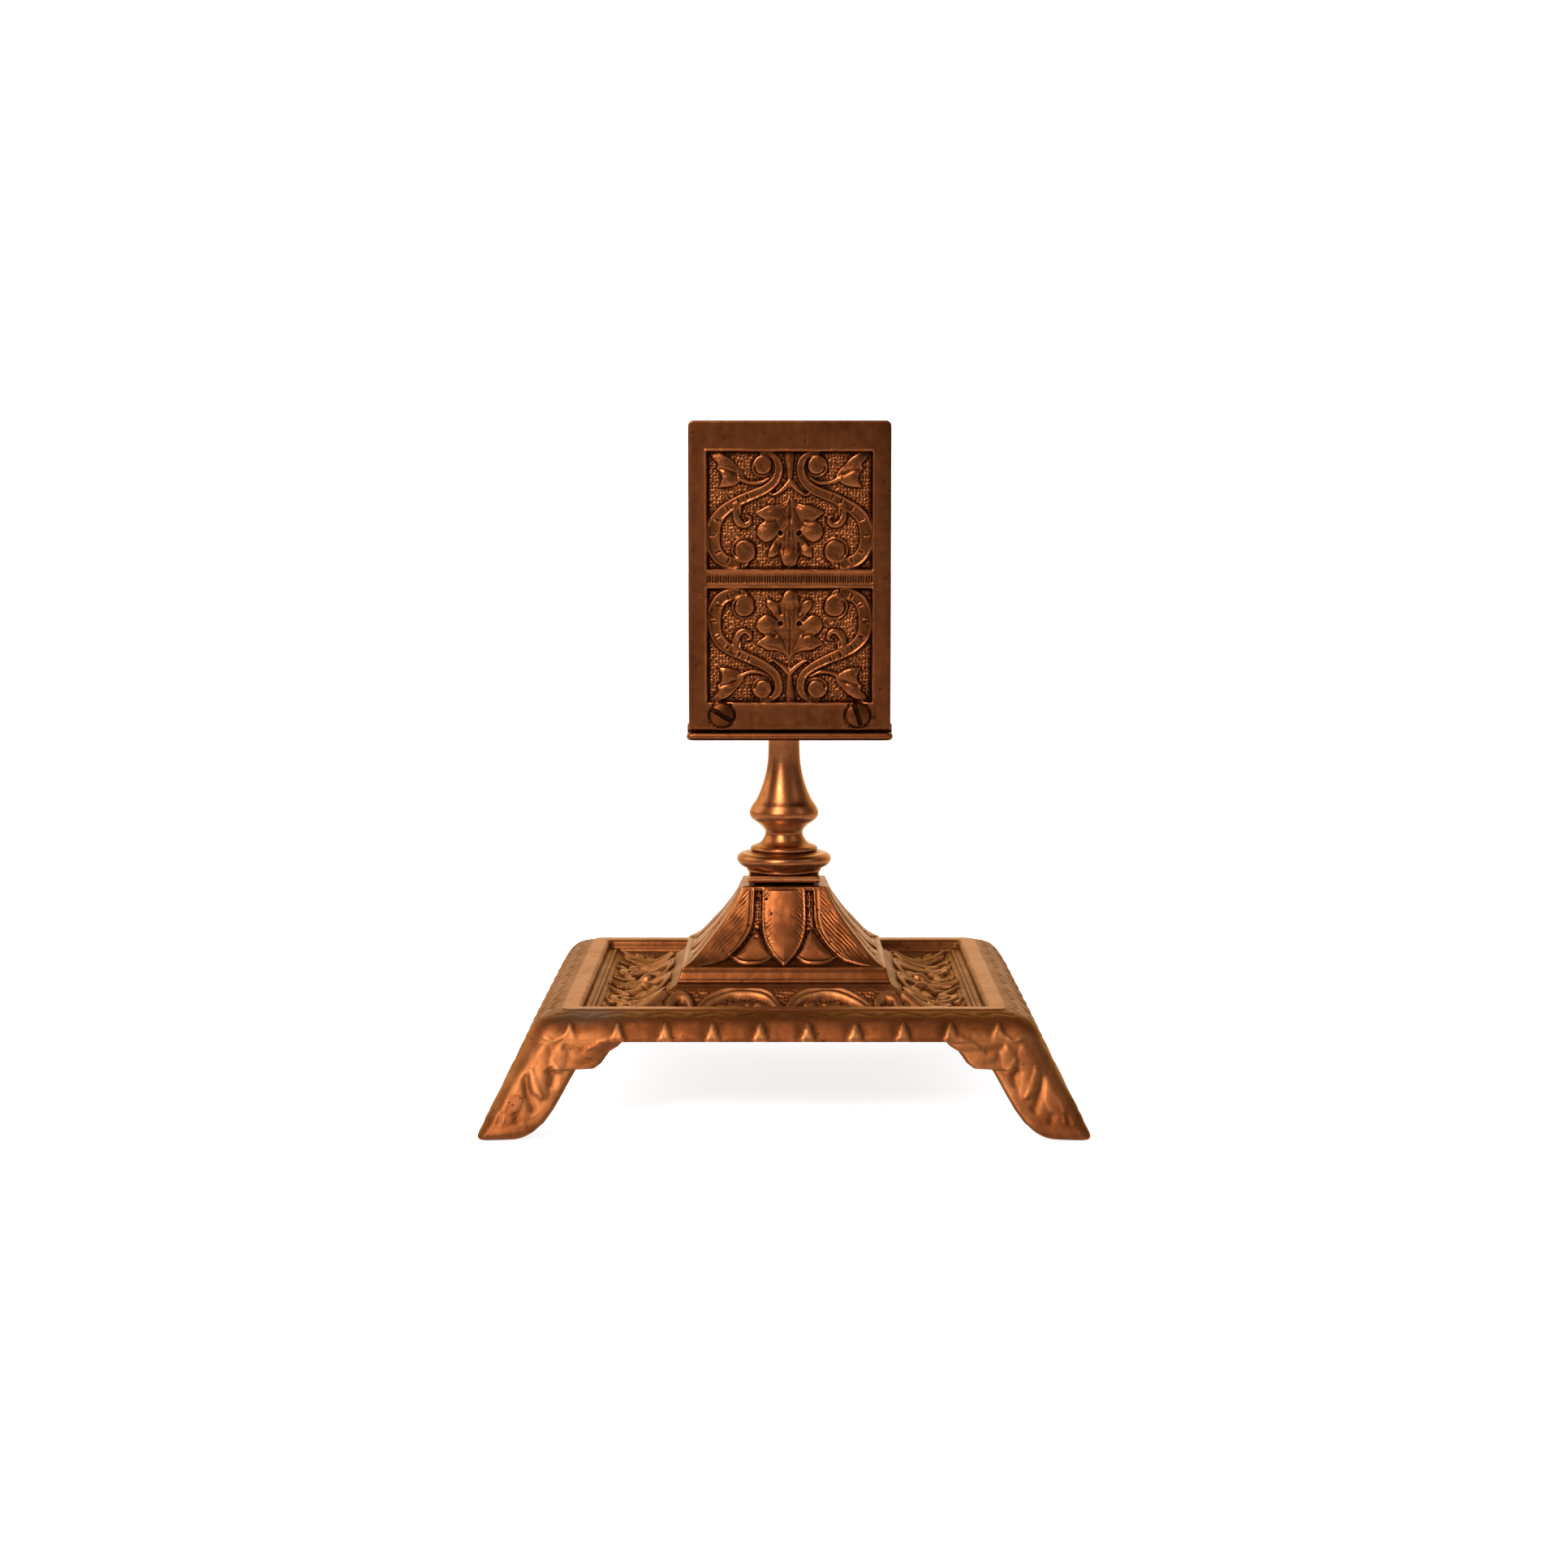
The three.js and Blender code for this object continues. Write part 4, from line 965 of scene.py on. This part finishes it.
def pyramid_piece():
    lo, hi = span("pyramid")
    half, seat, top_z = hi[0], lo[2], hi[2]
    shoulder = (19.4, 25.2)
    low_step = [
        (half - 0.3, seat - 0.08), (half, seat - 0.06), (half, seat + 0.42), (half - 0.2, seat + 0.55),
        (half - 0.22, seat + 0.9),
    ]
    plinth = fillet(low_step + [(19.75, 24.3), (19.65, 25.2), shoulder], 0.16, 3)
    side = spline([shoulder, (17.1, 26.8), (14.46, 29.75), (11.76, 33.05), (9.63, 36.3), (8.5, 38.7)], 18)
    cap = fillet([(8.5, 38.7), (8.3, top_z), (6.0, top_z)], 0.25, 4)
    line = np.vstack([plinth, side[1:], cap[1:]])
    keep = [0] + [i for i in range(1, len(line)) if np.hypot(*(line[i] - line[i - 1])) > 0.02]
    line = line[keep]
    run, rings, a, half_at, z = section_rings(line, [0.35] * len(line), np.linspace(-1, 1, 190), 4)
    relief = (pyramid_pattern(a, z, half_at) - 0.55) * smooth(z, 25.2, 25.7) * smooth(-z, -38.9, -38.3)
    relief = relief + 0.04 * noise_a.sway(a, z, 0.8)
    pits = [
        (-5.05, 37.2, 0.5), (-3.4, 37.0, 0.24), (5.9, 36.2, 0.24), (6.5, 35.1, 0.2), (5.0, 33.2, 0.22),
        (6.7, 31.8, 0.24),
    ]
    pits += [
        (7.3, 34.2, 0.18), (-2.4, 34.3, 0.16), (3.0, 33.9, 0.18), (-6.9, 32.4, 0.22), (-5.4, 30.2, 0.18),
        (9.1, 29.6, 0.2),
    ]
    relief = pitted(relief, a, z, pits, 0.4, 0.3)
    points = raised(rings, line, relief, run[:, 1], -run[:, 0])
    arris = smooth(np.abs(a) - half_at, -0.5, -0.2)
    worn_and_shaded = unit(wear_and_shade(relief, wrap=True, gain=3.0) + 0.2 * arris)
    faces = tube_faces(*a.shape)
    piece(
        "pyramid_relief", points.reshape(-1, 3), faces, ["pyramid"], cast, {"wear_and_shade": worn_and_shaded},
        flat=2,
    )


pyramid_piece()


# ------------------------------------------------------------------ collar and stem
def collar_pieces():
    """Square cap on the pyramid and the turned flange on top of it."""
    lo, hi = span("collar")
    seat, top = lo[2], hi[2]
    cap_top = 41.2
    cap = [(5.9, 0.3, seat), (5.9, 0.3, seat + 0.45), (6.9, 0.3, seat + 0.5), (7.05, 0.35, seat + 0.65)]
    cap += [(7.05, 0.35, cap_top - 0.3), (6.95, 0.35, cap_top - 0.1), (6.6, 0.35, cap_top)]
    points, faces, worn_and_shaded = squared([(half, half, r, z) for half, r, z in cap], 24, 5)
    neck = [
        (0, 40.9), (6.55, 40.9), (6.55, 41.2), (7.3, 41.45), (7.38, 41.65), (7.3, 41.95), (7.0, 42.0),
        (7.6, 42.1), (8.45, 42.5),
    ]
    bulge = spline([(8.45, 42.5), (9.0, 43.0), (9.34, 43.8), (9.2, 44.45), (8.6, 45.0), (7.9, 45.2)], 7)
    head = fillet([(7.9, 45.2), (6.95, 45.27), (6.9, top), (0, top)], 0.08, 3)
    turned_points, turned_faces, turned_worn_and_shaded, painted_underside_light = revolve(
        np.vstack([fillet(neck, 0.1, 4), bulge[1:], head[1:]]), 144, 2.0,
    )
    faces += shifted(turned_faces, len(points))
    points = np.vstack([points, turned_points])
    looks = {"wear_and_shade": np.concatenate([worn_and_shaded, turned_worn_and_shaded]), "stain_and_sheen": np.concatenate([0 * worn_and_shaded, painted_underside_light])}
    piece("collar_turned", points, faces, ["collar"], turned, looks)


def stem_piece():
    """Baluster, a bead at the bottom and a slim neck up into the case."""
    lo, hi = span("stem")
    seat, top = lo[2], hi[2]
    shelf = 68.0
    bead = spline(
        [(6.2, seat), (6.6, seat + 0.25), (6.64, seat + 0.65), (6.35, seat + 0.95), (6.0, seat + 1.1)], 5,
    )
    waist = [(6.0, seat + 1.1), (4.9, 47.0), (4.11, 47.9), (3.71, 49.2), (4.67, 50.5)]
    bulb = [(6.36, 51.8), (6.84, 53.05), (6.36, 54.4), (5.47, 55.7), (4.58, 57.7), (3.78, 60.2)]
    neck = [(3.29, 62.8), (3.12, 65.2), (3.05, shelf)]
    tip = [(2.0, shelf), (2.0, top - 0.3), (1.7, top), (0, top)]
    line = np.vstack([[(0, seat)], bead, spline(waist + bulb + neck, 10)[1:], tip])
    points, faces, worn_and_shaded, painted_underside_light = revolve(line, 144, 1.0)
    piece("stem_turned", points, faces, ["stem"], turned, {"wear_and_shade": worn_and_shaded, "stain_and_sheen": painted_underside_light})


collar_pieces()
stem_piece()


# ------------------------------------------------------------------ tray, seat block, screws, fastenings
def tray_piece():
    lo, hi = span("case_tray")
    hx, hy = (hi[0] - lo[0]) / 2, hi[1]
    z0, z1 = lo[2], lo[2] + 1.6  # the sheet, its edge rounded to a half circle
    mid, r = (z0 + z1) / 2, (z1 - z0) / 2
    levels = []
    for k in range(9):
        a = math.pi * (k / 8 - 0.5)
        inset = r * (1 - math.cos(a))
        levels.append((hx - inset, hy - inset, 0.9, mid + r * math.sin(a)))
    levels.append((hx - r - 0.3, hy - r - 0.3, 0.8, z1 - 0.02))
    levels.append((hx - r - 0.5, hy - r - 0.5, 0.8, z1 - 0.15))
    pts, faces, worn_and_shaded = squared(levels, 40, 8, 2.2)
    pts = pts + np.array([CASE_X, 0, 0])
    for side in (-1, 1):
        lip = [
            (0.4, 8.6, 0.12, z1 - 0.6), (0.4, 8.6, 0.12, hi[2] - 0.25), (0.34, 8.5, 0.12, hi[2] - 0.08),
            (0.2, 8.3, 0.12, hi[2]),
        ]
        p, f, _ = squared(lip, 12, 3, 2.0)
        p = p + np.array([CASE_X + side * (hx - 0.5), 0, 0])
        faces += shifted(f, len(pts))
        pts, worn_and_shaded = np.vstack([pts, p]), np.concatenate([worn_and_shaded, np.full(len(p), 0.55)])
    piece("tray_beaded", pts, faces, ["case_tray"], plain, {"wear_and_shade": worn_and_shaded})


def screw_piece(place, degrees):
    """A domed cheese head with its slot, turned by so many degrees."""
    cx, cz, radius, lo, hi = screws[place]
    front = place.startswith("front")
    head, dome_drop, slot_depth = 1.35, 0.42, 0.95  # height in the middle, fall to the rim, depth of the slot
    rows, sides = 46, 120
    r = radius * np.concatenate([np.linspace(0.02, 0.93, rows - 6), np.linspace(0.95, 1.0, 6)])
    a = np.linspace(0, 2 * math.pi, sides, endpoint=False)
    rr, aa = np.meshgrid(r, a, indexing="ij")
    x, z = rr * np.cos(aa), rr * np.sin(aa)
    turn = math.radians(degrees)
    across = -x * math.sin(turn) + z * math.cos(turn)
    lift = head - dome_drop * (rr / radius) ** 2 - 0.5 * smooth(rr, radius * 0.9, radius)
    burr = 0.09 * ridge(np.abs(across) - 0.5, 0.08) * (0.4 + noise_a(x * 2.2 + degrees, z * 2.2))
    slot = smooth(-np.abs(across + 0.04 * np.sin(3 * x)), -0.46, -0.36)
    height = lift + burr - slot_depth * slot
    # painted shade down in the slot, painted highlight on the burrs beside it
    worn_and_shaded = unit(0.42 - 0.42 * slot + 2 * burr)
    skirt_lift, skirt_scale = np.array([0.42, 0.12, 0.0, -0.04]), np.array([1.0, 0.985, 0.95, 0.5])
    sx = np.vstack([x, [radius * s * np.cos(a) for s in skirt_scale]])
    sz = np.vstack([z, [radius * s * np.sin(a) for s in skirt_scale]])
    sh = np.vstack([height, np.repeat(skirt_lift[:, None], sides, 1)])
    sw = np.vstack([worn_and_shaded, np.full((len(skirt_lift), sides), 0.25)])
    sign = -1 if front else 1
    seat = (lo[1] if front else hi[1]) - sign * head
    pts = np.stack([cx + sx, seat + sign * sh, cz + sz], -1).reshape(-1, 3)
    faces = [f if front else f[::-1] for f in grid_faces(len(sx), sides, wrap=True)]
    faces += [tuple(range(sides)), tuple((len(sx) - 1) * sides + j for j in range(sides))[::-1]]
    piece("head_" + place, pts, faces, ["screw_" + place], plate_cast, {"wear_and_shade": sw})


def seat_piece():
    lo, hi = span("seat_block")
    x, y, z0, z1 = (hi[0] - lo[0]) / 2, hi[1], lo[2], hi[2]
    levels = [(x - 0.2, y, 0.3, z0), (x, y, 0.4, z0 + 0.2), (x, y, 0.4, z1 - 0.3), (
        x - 0.1, y - 0.08, 0.4, z1 - 0.1,
    ), (x - 0.3, y - 0.25, 0.4, z1)]
    levels += [(2.6, 2.6, 0.8, z1), (2.3, 2.3, 0.8, z1 - 0.12)]
    pts, faces, worn_and_shaded = squared(levels, 30, 4)
    pts = pts + np.array([CASE_X, 0, 0])
    piece("seat_block_filed", pts, faces, ["seat_block"], under, {"wear_and_shade": worn_and_shaded})


tray_piece()
for place, degrees in (("front_left", -30), ("front_right", 107), ("back_left", 15), ("back_right", 60)):
    screw_piece(place, degrees)
seat_piece()

for node, material in (("base_washer", under), ("base_nut", under), ("tie_rod", steel)):
    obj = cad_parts[node]
    obj.data.materials.clear()
    obj.data.materials.append(material)


# ------------------------------------------------------------------ studio
def white_floor():
    """Pale floor that glows less far in front of the object, where only its reflection is seen."""
    m, nodes, shader = new_material("pale_floor")
    y = nodes.add("SeparateXYZ", {0: nodes.add("TexCoord").outputs["Object"]}).outputs["Y"]
    nodes.feed(shader, {
        "Base Color": (0.6, 0.6, 0.6, 1), "Roughness": 0.9, "Specular IOR Level": 0.0,
        "Emission Color": (1, 1, 1, 1),
        "Emission Strength": nodes.between(y, -2.6, -0.35, 0.1, 0.8, "SMOOTHSTEP"),
    })
    mesh = bpy.data.meshes.new("floor")
    r = 6.0
    mesh.from_pydata([(-r, -r, 0), (r, -r, 0), (r, r, 0), (-r, r, 0)], [], [(0, 1, 2, 3)])
    mesh.materials.append(m)
    floor = bpy.data.objects.new("floor", mesh)
    floor.location.z = -0.0002
    bpy.context.scene.collection.objects.link(floor)


def softbox(name, at, aim, size, power, colour=(1, 1, 1)):
    light = bpy.data.lights.new(name, "AREA")
    light.shape, light.size, light.size_y = "RECTANGLE", size[0], size[1]
    light.energy, light.color = power, colour
    obj = bpy.data.objects.new(name, light)
    obj.location = at
    obj.rotation_euler = (Vector(aim) - Vector(at)).to_track_quat("-Z", "Y").to_euler()
    bpy.context.scene.collection.objects.link(obj)


def studio_world():
    """Bright behind and above the object, a darker room towards the camera."""
    world = bpy.data.worlds.new("studio")
    bpy.context.scene.world = world
    world.use_nodes = True
    nodes = Nodes(world.node_tree)
    split = nodes.add("SeparateXYZ", {0: nodes.add("TexCoord").outputs["Generated"]}).outputs
    behind = nodes.between(split["Y"], 0.3, 0.85, how="SMOOTHSTEP")
    above = nodes.between(split["Z"], 0.9, 1.6, how="SMOOTHSTEP")
    most = nodes.calc("MAXIMUM", behind, above)
    room, white = (0.42, 0.41, 0.4, 1), (2.05, 2.05, 2.05, 1)
    light = nodes.add("Mix", {"Factor": most, "A": room, "B": white}, data_type="RGBA").outputs["Result"]
    nodes.feed(world.node_tree.nodes["Background"], {"Color": light, "Strength": 1.0})


white_floor()
studio_world()
softbox("key", (-0.19, -0.415, 0.42), (0, 0, 0.04), (0.12, 0.42), 6.5, (1.0, 0.95, 0.88))
softbox("fill", (0.6, -0.3, 0.5), (0, 0, 0.05), (0.3, 0.4), 0.8)
softbox("left", (-0.6, 0.2, 0.4), (0, 0, 0.02), (0.5, 0.5), 2.8)

SENSOR = 36.0  # millimetres
FOCAL, PHOTO_WIDTH = 3103.0, 1932.0  # the photo's, both in its pixels
CAMERA_AT, LOOKING_DOWN = (0.0, -0.4966, 0.1087), 5.755  # metres and degrees
camera_data = bpy.data.cameras.new("camera")
camera_data.sensor_width = SENSOR
camera_data.lens = SENSOR * FOCAL / PHOTO_WIDTH
camera_data.clip_start, camera_data.clip_end = 0.01, 50
camera = bpy.data.objects.new("camera", camera_data)
camera.location = CAMERA_AT
camera.rotation_euler = Euler((math.radians(90 - LOOKING_DOWN), 0, 0))
bpy.context.scene.collection.objects.link(camera)
bpy.context.scene.camera = camera
bpy.context.scene.view_settings.view_transform = "Standard"
